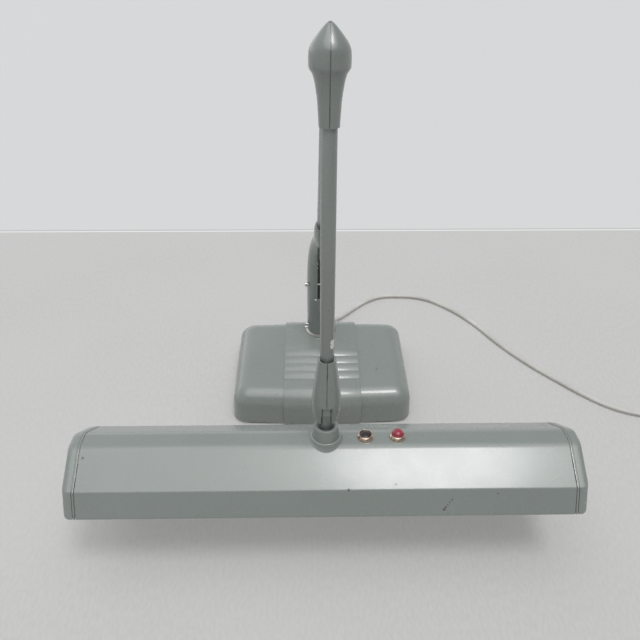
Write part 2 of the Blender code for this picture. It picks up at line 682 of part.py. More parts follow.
# ---------------------------------------------------------------- shade fittings
def make_knuckle():
    tongue = cross_bar("shade_knuckle", 0.0130, 0.0058, 0, 0, ENAMEL, TILT, 24)
    neck = block("knuckle_neck", (-0.0058, -0.0055, -0.024), (0.0058, 0.0055, 0.0), None, TILT)
    stem = cylinder("knuckle_stem", 0.0060, (0, 0, -0.0600), (0, 0, -0.0150), None, TILT)
    hole = cross_bar("knuckle_hole", 0.0020 + GAP, 0.02, 0, 0, None, TILT)
    join(tongue, neck, stem)
    cut(tongue, hole)
    nut_low = -CROWN_DROP - WALL - 0.0080
    nut = cylinder("swivel_nut", 0.0105, (0, 0, nut_low), (0, 0, nut_low + 0.0060), STEEL, TILT, 6)
    nut_bore = cylinder("swivel_nut_bore", 0.0060 + GAP, (0, 0, -0.08), (0, 0, -0.02), None, TILT)
    cut(nut, nut_bore)


def shade_outline(inset=0.0):
    """Half section of the shade from crown to lip, as (y, z) points on the rear side."""
    slope = Vector((math.cos(SLOPE_ANGLE), -math.sin(SLOPE_ANGLE)))
    skirt = Vector((math.cos(SKIRT_ANGLE), -math.sin(SKIRT_ANGLE)))
    crown = Vector((CROWN_HALF, 0.0))
    crease = crown + slope * SLOPE_LENGTH
    lip = crease + skirt * SKIRT_LENGTH
    crown_radius = CROWN_HALF / math.tan(SLOPE_ANGLE / 2)
    top = fillet((-CROWN_HALF, 0.0), crown, crease, crown_radius - inset, 5)
    if inset:
        shift = Vector((math.sin(SLOPE_ANGLE), math.cos(SLOPE_ANGLE))) * inset
        top = fillet((-CROWN_HALF, -inset), (crown.x - inset * math.tan(SLOPE_ANGLE / 2), -inset),
                     crease - shift, crown_radius - inset, 5)
    edge = fillet(crown, crease, lip, 0.0040, 3)
    if inset:
        edge = [(y - inset * 0.78, z - inset * 0.62) for y, z in edge]
    return top[1:] + edge + [(lip.x - inset, lip.y)]


def full_section(inset=0.0):
    rear = shade_outline(inset)
    front = [(-y, z) for y, z in reversed(rear)]
    return front + [(0.0, -inset)] + rear


def sheet(name, section, length, thickness, finish, parent):
    """A folded sheet: an open section in Y and Z drawn out along X and given a thickness."""
    bm = bmesh.new()
    start = [bm.verts.new((-length / 2, y, z)) for y, z in section]
    edges = [bm.edges.new(pair) for pair in zip(start, start[1:])]
    drawn = bmesh.ops.extrude_edge_only(bm, edges=edges)
    moved = [item for item in drawn["geom"] if isinstance(item, bmesh.types.BMVert)]
    bmesh.ops.translate(bm, vec=(length, 0, 0), verts=moved)
    bmesh.ops.recalc_face_normals(bm, faces=bm.faces)
    obj = from_bmesh(name, bm, finish, parent)
    solid = obj.modifiers.new("Sheet", 'SOLIDIFY')
    solid.thickness = thickness
    solid.offset = 0.0
    solid.use_even_offset = True
    return obj


def make_end_cap(side, label):
    """A shallow pressed pan that closes one end of the shade."""
    inner_x = SHADE_LENGTH / 2 - CAP_LENGTH + GAP
    section = full_section()
    middle = Vector((0.0, sum(z for _, z in section) / len(section)))

    def ring(x, share):
        points = []
        for y, z in section:
            point = middle + (Vector((y, z)) - middle) * share
            points.append((side * x, point.x, point.y))
        return points if side > 0 else list(reversed(points))

    bm = bmesh.new()
    stations = [(inner_x, 1.0), (inner_x + 0.0095, 0.992), (inner_x + 0.0130, 0.955),
                (SHADE_LENGTH / 2, 0.89)]
    loops = [[bm.verts.new(p) for p in ring(x, share)] for x, share in stations]
    count = len(section)
    for near, far in zip(loops, loops[1:]):
        for i in range(count):
            j = (i + 1) % count
            bm.faces.new((near[i], near[j], far[j], far[i]))
    bm.faces.new(loops[-1])
    bmesh.ops.recalc_face_normals(bm, faces=bm.faces)
    cap = from_bmesh(f"end_cap_{label}", bm, ENAMEL, SHADE)
    solid = cap.modifiers.new("Sheet", 'SOLIDIFY')
    solid.thickness = WALL
    solid.offset = -1.0
    solid.use_even_offset = True


def make_shade():
    body_length = SHADE_LENGTH - 2 * CAP_LENGTH
    section = [(y, z - WALL / 2) for y, z in full_section()]
    lip = 0.0050
    ends = [(section[0][0] + lip, section[0][1])] + section
    ends.append((section[-1][0] - lip, section[-1][1]))
    shell = sheet("shade_shell", ends, body_length, WALL, ENAMEL, SHADE)
    for name, x, radius in (("neck_hole", 0.0, 0.0068), ("stop_hole", STOP_X, 0.0042),
                            ("start_hole", START_X, 0.0042)):
        cut(shell, cylinder(name, radius, (x, 0, -0.02), (x, 0, 0.02), None, SHADE))
    make_end_cap(-1, "left")
    make_end_cap(1, "right")
    half, top, low = 0.0165, -0.0085, -0.0205
    channel = [(0.0215, top), (half, top), (half - 0.001, low), (-half + 0.001, low), (-half, top),
               (-0.0215, top)]
    sheet("wiring_channel", channel, body_length - 0.020, 0.0010, WHITE_ENAMEL, SHADE)


def make_neck():
    """A conical collar on a beaded flange that follows the crown."""
    flange = turned("saddle_flange",
                    [(0.0155, 0.0040), (0.0176, 0.0036), (0.0186, 0.0022), (0.0192, 0.0006),
                     (0.0202, -0.0030), (0.0068, -0.0030), (0.0068, 0.0040)],
                    ENAMEL, SHADE, ring=True)
    crown = full_section()
    under = [(0.04, crown[-3][1] - 0.03), (-0.04, crown[-3][1] - 0.03)]
    top_points = [(y, z + GAP) for y, z in crown if abs(y) < 0.03]
    cut(flange, plate("crown_shape", under + top_points, -0.05, 0.05, None, SHADE))
    turned("neck_collar", [(0.0105, 0.0205), (0.0140, 0.0205), (0.0148, 0.0192), (0.0162, 0.0043),
                           (0.0068, 0.0043), (0.0068, 0.0150)],
           ENAMEL, SHADE, ring=True)


def make_lamps():
    for side, label in ((-1, "front"), (1, "rear")):
        y = side * LAMP_Y
        half = LAMP_LENGTH / 2
        lamp = cylinder(f"lamp_{label}", LAMP_RADIUS, (-half, y, -LAMP_DROP), (half, y, -LAMP_DROP),
                        LAMP_GLASS, SHADE, 20)
        for end in (-1, 1):
            for pin in (-1, 1):
                contact = cylinder(f"{label}_pin_{end + 1}{pin + 1}", 0.0012,
                                   (end * (half - 0.002), y, -LAMP_DROP + pin * 0.00635),
                                   (end * (half + 0.006), y, -LAMP_DROP + pin * 0.00635), None,
                                   SHADE, 8)
                join(lamp, contact)
    for side, label in ((-1, "left"), (1, "right")):
        inner = LAMP_LENGTH / 2 + GAP
        outer = SHADE_LENGTH / 2 - WALL - 0.0010
        xs = sorted((side * inner, side * outer))
        holder = block(f"lamp_holder_{label}", (xs[0], -0.038, -0.0520), (xs[1], 0.038, -0.0200),
                       CREAM, SHADE)
        for lamp_side in (-1, 1):
            y = lamp_side * LAMP_Y
            slot = block(f"holder_slot_{label}_{lamp_side + 1}",
                         (xs[0] - 0.02 if side > 0 else xs[1] - 0.0072, y - 0.0017, -0.060),
                         (xs[0] + 0.0072 if side > 0 else xs[1] + 0.02, y + 0.0017, -0.0290), None,
                         SHADE)
            cut(holder, slot)


def make_buttons():
    stop_profile = [(0, 0.0062), (0.0050, 0.0060), (0.0064, 0.0052), (BUTTON_RADIUS, 0.0038),
                    (BUTTON_RADIUS, 0.0034), (0.0030, 0.0034), (0.0030, -0.0120), (0, -0.0120)]
    start_profile = [(0, 0.0105), (0.0030, 0.0101), (0.0052, 0.0090), (0.0064, 0.0070),
                     (BUTTON_RADIUS, 0.0045), (BUTTON_RADIUS, 0.0034), (0.0030, 0.0034),
                     (0.0030, -0.0120), (0, -0.0120)]
    for name, x, profile, finish in (("stop", STOP_X, stop_profile, BLACK),
                                     ("start", START_X, start_profile, RED)):
        turned(f"{name}_button", profile, finish, SHADE, (x, 0, 0), 16)
        bore = BUTTON_RADIUS + GAP
        turned(f"{name}_bezel", [(bore, 0.0048), (0.0088, 0.0048), (0.0096, 0.0036), (0.0096, GAP),
                                 (bore, GAP)], NICKEL, SHADE, (x, 0, 0), 16, True)
        body = block(f"{name}_switch", (x - 0.0080, -0.0075, -0.0185), (x + 0.0080, 0.0075, -0.0030),
                     BLACK, SHADE)
        cut(body, cylinder(f"{name}_switch_bore", 0.0030 + GAP, (x, 0, -0.0165), (x, 0, 0.0), None,
                           SHADE))


make_base()
make_cord()
make_turret()
make_springs()
make_lower_arm()
make_elbow()
make_elbow_cover()
make_upper_arm()
make_levelling_rod()
make_head()
make_knuckle()
make_shade()
make_neck()
make_lamps()
make_buttons()
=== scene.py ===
"""The looks of a balanced-arm fluorescent desk lamp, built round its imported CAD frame.

Metres, +Z up, front towards -Y.  Each piece is modelled in the local space of the body that carries
it, and is then put in place by that body's matrix at rest.
"""
import json
import math

import bmesh
import bpy
from mathutils import Matrix, Vector
from mathutils.geometry import convex_hull_2d


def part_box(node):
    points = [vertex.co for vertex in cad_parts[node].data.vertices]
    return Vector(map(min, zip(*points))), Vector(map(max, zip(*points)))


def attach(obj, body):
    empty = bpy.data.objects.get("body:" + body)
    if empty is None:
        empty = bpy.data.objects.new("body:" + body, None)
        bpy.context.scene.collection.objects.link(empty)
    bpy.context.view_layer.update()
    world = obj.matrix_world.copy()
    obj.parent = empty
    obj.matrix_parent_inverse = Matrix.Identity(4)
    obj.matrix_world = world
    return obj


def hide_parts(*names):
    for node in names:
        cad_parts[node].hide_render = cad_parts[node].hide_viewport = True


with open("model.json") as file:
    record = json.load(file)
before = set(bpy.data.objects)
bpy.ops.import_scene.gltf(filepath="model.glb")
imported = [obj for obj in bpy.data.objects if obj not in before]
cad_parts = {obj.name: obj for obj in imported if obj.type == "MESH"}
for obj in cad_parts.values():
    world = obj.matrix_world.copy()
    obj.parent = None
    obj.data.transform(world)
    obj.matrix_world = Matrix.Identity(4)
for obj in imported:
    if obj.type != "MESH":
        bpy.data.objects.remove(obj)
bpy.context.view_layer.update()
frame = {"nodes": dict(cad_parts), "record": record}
RECORD = frame["record"]
SCENE = bpy.context.scene


# ---------------------------------------------------------------- where the bodies are at rest
JOINTS = {joint["name"]: joint for joint in RECORD["behaviour"]["joints"]}


def joint_point(name):
    return Vector(JOINTS[name]["pos_m"])


def upright(origin, up):
    """Local space with its origin at a point and its Z axis along a direction in the YZ plane."""
    turn = math.atan2(-up.y, up.z)
    return Matrix.Translation(origin) @ Matrix.Rotation(turn, 4, 'X')


LOWER_PIVOT = joint_point("lower_arm_lift")
ELBOW_PIVOT = joint_point("upper_arm_lift")
HEAD_PIVOT = joint_point("head_level")
TILT_PIN = joint_point("shade_tilt")
CROWN = joint_point("shade_swivel")
SHADE_UP = Vector(JOINTS["shade_swivel"]["axis"])

BASE = Matrix.Identity(4)
TURRET = Matrix.Translation((0, LOWER_PIVOT.y, 0))
LOWER = upright(LOWER_PIVOT, ELBOW_PIVOT - LOWER_PIVOT)
UPPER = upright(ELBOW_PIVOT, ELBOW_PIVOT - HEAD_PIVOT)
HEAD = Matrix.Translation(HEAD_PIVOT)
TILT = upright(TILT_PIN, SHADE_UP)
SHADE = upright(CROWN, SHADE_UP)

LOWER_LENGTH = (ELBOW_PIVOT - LOWER_PIVOT).length
UPPER_LENGTH = (ELBOW_PIVOT - HEAD_PIVOT).length
GAP = 0.0003
SIDES = ((-1, "left"), (1, "right"))


# ---------------------------------------------------------------- camera
CAMERA_PLACE = (-0.0190, -0.7867, 0.7473)
CAMERA_HEADING = math.radians(-1.20)      # anticlockwise from +Y
CAMERA_PITCH = math.radians(38.13)        # below the horizon
CAMERA_ROLL = math.radians(0.40)
CAMERA_LENS = 36.11                       # millimetres on a 36 mm sensor


def make_camera():
    data = bpy.data.cameras.new("camera")
    data.sensor_width = 36.0
    data.lens = CAMERA_LENS
    data.clip_start = 0.01
    data.clip_end = 50.0
    camera = bpy.data.objects.new("camera", data)
    camera.matrix_world = (Matrix.Translation(CAMERA_PLACE)
                           @ Matrix.Rotation(CAMERA_HEADING, 4, 'Z')
                           @ Matrix.Rotation(math.pi / 2 - CAMERA_PITCH, 4, 'X')
                           @ Matrix.Rotation(CAMERA_ROLL, 4, 'Z'))
    SCENE.collection.objects.link(camera)
    SCENE.camera = camera


# ---------------------------------------------------------------- shading helpers
class Shader:
    """A material's node tree with short calls to add and join nodes."""

    def __init__(self, name, world=False):
        if world:
            self.data = bpy.data.worlds.new(name)
        else:
            self.data = bpy.data.materials.new(name)
        self.data.use_nodes = True
        self.tree = self.data.node_tree
        if not world:
            self.surface = self.tree.nodes["Principled BSDF"]
            self.place = self.add("ShaderNodeTexCoord").outputs["Object"]

    def add(self, kind, **settings):
        node = self.tree.nodes.new(kind)
        for key, value in settings.items():
            setattr(node, key, value)
        return node

    def feed(self, socket, value):
        """Set a socket to a number or colour, or link it to another node's output."""
        if isinstance(value, bpy.types.NodeSocket):
            self.tree.links.new(value, socket)
        elif isinstance(value, tuple) and len(value) == 3 and socket.type == 'RGBA':
            socket.default_value = (*value, 1.0)
        else:
            socket.default_value = value

    def set(self, **values):
        """Set the surface shader's own sockets, by name with underscores for spaces."""
        for key, value in values.items():
            self.feed(self.surface.inputs[key.replace("_", " ")], value)

    def math(self, operation, first, second=0.0):
        node = self.add("ShaderNodeMath", operation=operation)
        self.feed(node.inputs[0], first)
        self.feed(node.inputs[1], second)
        return node.outputs[0]

    def times(self, first, second):
        return self.math('MULTIPLY', first, second)

    def ramp(self, value, low, high, to_low=0.0, to_high=1.0):
        """A number moved smoothly from one range to another."""
        node = self.add("ShaderNodeMapRange", interpolation_type='SMOOTHSTEP')
        for socket, given in zip(node.inputs, (value, low, high, to_low, to_high)):
            self.feed(socket, given)
        return node.outputs[0]

    def scaled(self, stretch):
        node = self.add("ShaderNodeMapping")
        self.feed(node.inputs["Vector"], self.place)
        self.feed(node.inputs["Scale"], stretch)
        return node.outputs[0]

    def noise(self, scale, detail=3.0, stretch=None, offset=0.0):
        node = self.add("ShaderNodeTexNoise", noise_dimensions='4D')
        self.feed(node.inputs["Vector"], self.scaled(stretch) if stretch else self.place)
        self.feed(node.inputs["W"], offset)
        self.feed(node.inputs["Scale"], scale)
        self.feed(node.inputs["Detail"], detail)
        return node.outputs["Fac"]

    def mix(self, share, first, second):
        node = self.add("ShaderNodeMix", data_type='RGBA')
        self.feed(node.inputs[0], share)
        self.feed(node.inputs[6], first)
        self.feed(node.inputs[7], second)
        return node.outputs[2]

    def near(self, point, radius, ragged):
        """One inside a ragged round patch about a point, and nothing outside it."""
        offset = self.add("ShaderNodeVectorMath", operation='DISTANCE')
        self.feed(offset.inputs[0], self.place)
        self.feed(offset.inputs[1], point)
        reach = self.math('ADD', offset.outputs["Value"], ragged)
        return self.ramp(reach, radius * 1.08, radius * 0.92)

    def bump(self, height, strength, distance, below=None):
        node = self.add("ShaderNodeBump")
        self.feed(node.inputs["Height"], height)
        self.feed(node.inputs["Strength"], strength)
        self.feed(node.inputs["Distance"], distance)
        if below is not None:
            self.feed(node.inputs["Normal"], below)
        return node.outputs[0]


def tint(colour, share):
    return tuple(min(1.0, value * share) for value in colour)


# ---------------------------------------------------------------- finishes
ENAMEL_COLOUR = (0.200, 0.222, 0.209)
BARE_COLOUR = (0.070, 0.064, 0.058)       # where the enamel is chipped to the metal
PRIMER_COLOUR = (0.72, 0.72, 0.70)        # where it is chipped to the primer
GRIME_COLOUR = (0.150, 0.150, 0.130)


def enamel(name, seed=0.0, chips=(), primer=(), speck_share=0.30):
    """Satin enamel with fine orange peel, faint handling marks, specks and chips.

    Chips and primer patches are (point, radius) in the piece's own space.
    """
    m = Shader(name)
    broad = m.noise(9.0, 4.0, offset=seed)
    colour = m.mix(m.ramp(broad, 0.25, 0.75), tint(ENAMEL_COLOUR, 0.97), tint(ENAMEL_COLOUR, 1.03))
    cloudy = m.noise(60.0, 5.0, offset=seed + 3.0)
    grime = m.times(m.ramp(cloudy, 0.50, 0.85), 0.08)
    colour = m.mix(grime, colour, GRIME_COLOUR)

    rubbed = m.noise(26.0, 3.0, stretch=(1.0, 14.0, 14.0), offset=seed + 5.0)
    scratch = m.noise(210.0, 2.0, stretch=(0.06, 1.0, 1.0), offset=seed + 7.0)
    scratch = m.times(m.ramp(scratch, 0.735, 0.765), m.ramp(rubbed, 0.50, 0.62))
    colour = m.mix(m.times(scratch, 0.35), colour, tint(ENAMEL_COLOUR, 1.9))

    cells = m.add("ShaderNodeTexVoronoi")
    m.feed(cells.inputs["Vector"], m.place)
    m.feed(cells.inputs["Scale"], 24.0)
    sizes = m.add("ShaderNodeSeparateColor")
    m.feed(sizes.inputs[0], cells.outputs["Color"])
    few = m.ramp(sizes.outputs[0], 1.0 - speck_share, 1.001 - speck_share)
    size = m.times(sizes.outputs[1], 0.022)
    speck = m.ramp(cells.outputs["Distance"], size, 0.0)
    damage = m.times(m.ramp(speck, 0.10, 0.30), few)

    ragged = m.times(m.math('SUBTRACT', m.noise(420.0, 4.0, offset=seed), 0.5), 0.0022)
    for point, radius in chips:
        damage = m.math('MAXIMUM', damage, m.near(point, radius, ragged))
    colour = m.mix(m.times(damage, 0.85), colour, BARE_COLOUR)
    worn = damage
    for point, radius in primer:
        patch = m.near(point, radius, ragged)
        colour = m.mix(patch, colour, PRIMER_COLOUR)
        worn = m.math('MAXIMUM', worn, patch)

    rough = m.math('ADD', m.ramp(m.noise(35.0, 2.0, offset=seed + 9.0), 0.20, 0.80, 0.25, 0.30),
                   m.times(worn, 0.30))
    peel = m.bump(m.noise(520.0, 1.0), 0.06, 0.00012)
    wavy = m.bump(m.noise(16.0, 0.0), 0.03, 0.0005, below=peel)
    pitted = m.bump(m.math('SUBTRACT', 1.0, worn), 0.6, 0.0003, below=wavy)
    m.set(Base_Color=colour, Roughness=rough, Normal=pitted, Coat_Weight=0.35, Coat_Roughness=0.14,
          Specular_IOR_Level=0.6)
    return m.data


def plain(name, colour, roughness, metallic=0.0, vary=0.08, patch=40.0, grain=700.0, depth=0.0001,
          stretch=None, coat=0.0, specks=None):
    """A plain moulded, cast or machined finish with uneven colour and gloss and a fine grain."""
    m = Shader(name)
    broad = m.noise(patch, 4.0)
    shade = m.mix(m.ramp(broad, 0.30, 0.70), tint(colour, 1.0 - vary), tint(colour, 1.0 + vary))
    if specks:
        dust = m.ramp(m.noise(900.0, 2.0, offset=4.0), 0.66, 0.72)
        shade = m.mix(m.times(dust, 0.5), shade, specks)
    fine = m.noise(grain, 3.0, stretch=stretch, offset=2.0)
    rough = m.ramp(m.math('ADD', m.times(broad, 0.5), m.times(fine, 0.5)),
                   0.30, 0.70, roughness * 0.8, roughness * 1.2)
    m.set(Base_Color=shade, Roughness=rough, Normal=m.bump(fine, 0.5, depth), Metallic=metallic)
    if coat:
        m.set(Coat_Weight=coat, Coat_Roughness=0.08)
    return m.data


def felt_finish():
    m = Shader("felt_finish")
    fibres = m.noise(1500.0, 4.0, stretch=(1.0, 0.35, 1.0))
    m.set(Base_Color=m.mix(fibres, (0.03, 0.07, 0.04), (0.07, 0.14, 0.08)), Roughness=0.95,
          Normal=m.bump(fibres, 0.9, 0.0005), Sheen_Weight=0.4)
    return m.data


def lamp_finish():
    """Phosphor-coated glass, unlit, greying towards the ends."""
    m = Shader("lamp_finish")
    split = m.add("ShaderNodeSeparateXYZ")
    m.feed(split.inputs[0], m.place)
    along = m.math('ABSOLUTE', split.outputs[0])
    cloudy = m.times(m.noise(30.0, 3.0), 0.012)
    dark = m.ramp(m.math('ADD', along, cloudy), 0.262, 0.292)
    m.set(Base_Color=m.mix(m.times(dark, 0.45), (0.86, 0.86, 0.83), (0.35, 0.32, 0.30)),
          Roughness=m.ramp(m.noise(20.0), 0.3, 0.7, 0.12, 0.22), Coat_Weight=0.6,
          Coat_Roughness=0.05)
    return m.data


def cord_finish():
    """Light grey vinyl, dulled by handling."""
    m = Shader("cord_finish")
    handled = m.noise(18.0, 5.0)
    dirt = m.ramp(m.noise(240.0, 4.0, offset=3.0), 0.52, 0.72)
    colour = m.mix(m.ramp(handled, 0.35, 0.65), (0.44, 0.43, 0.40), (0.54, 0.53, 0.50))
    colour = m.mix(m.times(dirt, 0.22), colour, (0.24, 0.22, 0.20))
    m.set(Base_Color=colour, Roughness=m.ramp(handled, 0.3, 0.7, 0.40, 0.55),
          Normal=m.bump(m.noise(900.0, 2.0), 0.4, 0.0001))
    return m.data


BACKDROP_EDGE = 0.498            # where the board that the lamp stands on ends


def floor_finish():
    """A pale board with a fibrous surface and the lighter backdrop beyond its edge, with a painted
    highlight along the edge and a painted shadow strip just beyond it.
    """
    m = Shader("floor_finish")
    split = m.add("ShaderNodeSeparateXYZ")
    m.feed(split.inputs[0], m.place)
    y = split.outputs[1]
    fibres = m.noise(260.0, 5.0, stretch=(1.0, 0.4, 1.0))
    cloudy = m.noise(3.0, 2.0)
    board = m.mix(m.ramp(fibres, 0.3, 0.7), (0.452, 0.447, 0.440), (0.486, 0.482, 0.476))
    board = m.mix(m.ramp(cloudy, 0.3, 0.7, 0.0, 0.35), board, (0.500, 0.498, 0.494))
    colour = m.mix(m.ramp(y, BACKDROP_EDGE, BACKDROP_EDGE + 0.004), board, (0.560, 0.560, 0.562))
    # Painted light at the board's edge: a bright painted highlight strip at the edge, then a darker
    # painted shadow strip on the backdrop.
    for start, full, last, end, share, line in ((-0.005, -0.002, 0.0, 0.002, 1.0, (0.70, 0.70, 0.70)),
                                                (0.0, 0.002, 0.004, 0.008, 0.6, (0.36, 0.36, 0.36))):
        here = m.times(m.ramp(y, BACKDROP_EDGE + start, BACKDROP_EDGE + full),
                      m.ramp(y, BACKDROP_EDGE + end, BACKDROP_EDGE + last))
        colour = m.mix(m.times(here, share), colour, line)
    m.set(Base_Color=colour, Roughness=0.85, Normal=m.bump(fibres, 0.12, 0.0004),
          Specular_IOR_Level=0.2)
    return m.data


SHADE_CHIPS = [((-0.2855, -0.0235, -0.0068), 0.0016), ((0.0250, -0.0568, -0.0288), 0.0016),
               ((0.0800, -0.0520, -0.0255), 0.0011), ((0.1980, -0.0600, -0.0340), 0.0012),
               ((0.1452, -0.0621, -0.0410), 0.0010), ((0.1425, -0.0632, -0.0437), 0.0009),
               ((0.1400, -0.0644, -0.0467), 0.0010), ((0.1378, -0.0656, -0.0495), 0.0013),
               ((0.1364, -0.0665, -0.0520), 0.0018)]
BASE_CHIPS = [((-0.0960, -0.0890, 0.0520), 0.0017), ((-0.1110, -0.0930, 0.0490), 0.0016),
              ((-0.1310, -0.0930, 0.0380), 0.0032), ((-0.1080, -0.0990, 0.0160), 0.0016),
              ((-0.0700, -0.0860, 0.0540), 0.0012), ((0.0560, -0.0950, 0.0470), 0.0014),
              ((0.0870, -0.0350, 0.0575), 0.0014)]
TURRET_CHIPS = [((-0.0219, -0.0075, 0.1420), 0.0013), ((-0.0222, -0.0060, 0.1560), 0.0012)]

FINISHES = {
    "enamel": enamel("enamel_arms", 2.0, primer=[((0.0058, -0.0052, -0.2835), 0.0032),
                                                 ((0.0058, -0.0052, -0.2885), 0.0034)]),
    "white_enamel": plain("white_enamel_finish", (0.80, 0.80, 0.75), 0.32, patch=14.0, vary=0.03,
                          grain=500.0),
    "chrome": plain("chrome_finish", (0.82, 0.82, 0.81), 0.14, 1.0, vary=0.05, depth=0.00004),
    "nickel": plain("nickel_finish", (0.66, 0.52, 0.42), 0.24, 1.0, vary=0.22, patch=260.0),
    "steel": plain("steel_finish", (0.52, 0.51, 0.49), 0.33, 1.0, vary=0.12, stretch=(0.1, 1, 1)),
    "iron": plain("iron_finish", (0.05, 0.05, 0.05), 0.72, 0.3, vary=0.25, grain=260.0, depth=0.0006),
    "felt": felt_finish(),
    "black_plastic": plain("black_plastic_finish", (0.012, 0.007, 0.009), 0.30, vary=0.25, coat=0.4,
                           specks=(0.10, 0.09, 0.09)),
    "red_plastic": plain("red_plastic_finish", (0.26, 0.020, 0.042), 0.26, vary=0.12, coat=0.5,
                         specks=(0.30, 0.10, 0.12)),
    "cream_plastic": plain("cream_plastic_finish", (0.70, 0.66, 0.55), 0.42, vary=0.05, coat=0.1),
    "lamp_glass": lamp_finish(),
    "cord_vinyl": cord_finish(),
}
ENAMEL_BASE = enamel("enamel_base", 11.0, chips=BASE_CHIPS, speck_share=0.22)
ENAMEL_SHADE = enamel("enamel_shade", 23.0, chips=SHADE_CHIPS, speck_share=0.14)
ENAMEL_TURRET = enamel("enamel_turret", 31.0, primer=TURRET_CHIPS)
ALUMINIUM = plain("aluminium_finish", (0.72, 0.72, 0.70), 0.38, 1.0, vary=0.06)
RUBBER = plain("rubber_finish", (0.030, 0.029, 0.028), 0.62, vary=0.2, grain=400.0)


# ---------------------------------------------------------------- modelling helpers
def smooth(points, per=6):
    """Points on a smooth curve through some points, in two or three dimensions."""
    nodes = [Vector(p) for p in points]
    nodes = [2 * nodes[0] - nodes[1]] + nodes + [2 * nodes[-1] - nodes[-2]]
    fine = []
    for a, b, c, d in zip(nodes, nodes[1:], nodes[2:], nodes[3:]):
        for i in range(per):
            t = i / per
            fine.append(0.5 * (2 * b + (c - a) * t + (2 * a - 5 * b + 4 * c - d) * t ** 2
                               + (3 * b - a - 3 * c + d) * t ** 3))
    fine.append(nodes[-2])
    return [tuple(p) for p in fine]


def rounded(corners, closed=False, steps=5):
    """An outline with its corners rounded; each corner is (a, b, radius)."""
    points = []
    last = len(corners) - 1
    for i, (a, b, radius) in enumerate(corners):
        here = Vector((a, b))
        if radius == 0 or (not closed and i in (0, last)):
            points.append((a, b))
            continue
        to_before = (Vector(corners[i - 1][:2]) - here).normalized()
        to_after = (Vector(corners[(i + 1) % len(corners)][:2]) - here).normalized()
        half = to_before.angle(to_after) / 2
        middle = here + (to_before + to_after).normalized() * radius / math.sin(half)
        first = here + to_before * radius / math.tan(half) - middle
        final = here + to_after * radius / math.tan(half) - middle
        for step in range(steps + 1):
            points.append(tuple(middle + first.slerp(final, step / steps).normalized() * radius))
    return points


def inset(profile, wall):
    """A profile moved inwards by a wall's thickness, staying right of the axis."""
    moved = []
    for i, (radius, height) in enumerate(profile):
        before = Vector(profile[max(i - 1, 0)])
        after = Vector(profile[min(i + 1, len(profile) - 1)])
        along = (after - before).normalized()
        moved.append((max(radius + along.y * wall, 0.0002), height - along.x * wall))
    return moved


def circle(steps):
    """Evenly spaced points round a circle of radius one."""
    angles = [2 * math.pi * step / steps for step in range(steps)]
    return [(math.cos(angle), math.sin(angle)) for angle in angles]


def lathe_mesh(profile, steps=64, closed=False):
    """A profile of (radius, height) points turned about the Z axis."""
    bm = bmesh.new()
    columns = [[bm.verts.new((r * x, r * y, z)) for r, z in profile] for x, y in circle(steps)]
    count = len(profile)
    for step in range(steps):
        here, there = columns[step], columns[(step + 1) % steps]
        for i in range(count if closed else count - 1):
            j = (i + 1) % count
            bm.faces.new((here[i], there[i], there[j], here[j]))
    return bm


def prism_mesh(outline, low, high):
    """An outline in Y and Z drawn out along X."""
    bm = bmesh.new()
    near, far = ([bm.verts.new((x, y, z)) for y, z in outline] for x in (low, high))
    skin(bm, [near, far])
    bm.faces.new(near)
    bm.faces.new(list(reversed(far)))
    return bm


def skin(bm, loops):
    """Faces between each closed loop of vertices and the next."""
    count = len(loops[0])
    for near, far in zip(loops, loops[1:]):
        for i in range(count):
            j = (i + 1) % count
            bm.faces.new((near[i], near[j], far[j], far[i]))


def loft_mesh(rings, open_end=False):
    """A solid through rings of points that all have the same number of points."""
    bm = bmesh.new()
    loops = [[bm.verts.new(p) for p in ring] for ring in rings]
    skin(bm, loops)
    if not open_end:
        bm.faces.new(list(reversed(loops[0])))
    bm.faces.new(loops[-1])
    return bm


def hoop_mesh(rings):
    """A closed skin through rings of points, the last ring joined to the first."""
    bm = bmesh.new()
    loops = [[bm.verts.new(p) for p in ring] for ring in rings]
    skin(bm, loops + loops[:1])
    return bm


def half_shell_mesh(outer, inner, side, seam, depth=1.0, power=2.0, columns=40):
    """One half of a hollow body split on the YZ plane, with walls and seam faces.

    The profiles are (half width, height) from top to bottom; depth is the body's thickness from
    front to back as a share of its width, and a power below 2 gives it a ridge down the front.
    """
    bm = bmesh.new()
    plan = []
    for column in range(columns + 1):
        angle = math.pi * (column / columns - 0.5)
        plan.append((abs(math.cos(angle)) ** (2 / power),
                     math.copysign(abs(math.sin(angle)) ** (2 / power), math.sin(angle))))
    skins = []
    for profile in (outer, inner):
        skins.append([[bm.verts.new((side * (seam / 2 + max(r - seam / 2, 0.0001) * across),
                                     depth * r * along, z)) for across, along in plan]
                      for r, z in profile])
    first, second = skins
    last = len(outer) - 1
    for rows in skins:
        for i in range(last):
            for j in range(columns):
                bm.faces.new((rows[i][j], rows[i][j + 1], rows[i + 1][j + 1], rows[i + 1][j]))
    for j in (0, columns):
        for i in range(last):
            bm.faces.new((first[i][j], first[i + 1][j], second[i + 1][j], second[i][j]))
    for i in (0, last):
        for j in range(columns):
            bm.faces.new((first[i][j], first[i][j + 1], second[i][j + 1], second[i][j]))
    return bm


def hull(circles, count=28):
    """The outline of a band stretched round some circles, each (y, z, radius)."""
    points = [(y + radius * across, z + radius * up)
              for y, z, radius in circles for across, up in circle(count)]
    return [points[i] for i in convex_hull_2d(points)]


def solid(name, bm, place=BASE, tidy=True):
    """An object from a bmesh, its normals outwards, in place."""
    if tidy:
        bmesh.ops.remove_doubles(bm, verts=bm.verts, dist=0.00002)
    bmesh.ops.recalc_face_normals(bm, faces=bm.faces)
    mesh = bpy.data.meshes.new(name)
    bm.to_mesh(mesh)
    bm.free()
    obj = bpy.data.objects.new(name, mesh)
    obj.matrix_world = place
    SCENE.collection.objects.link(obj)
    return obj


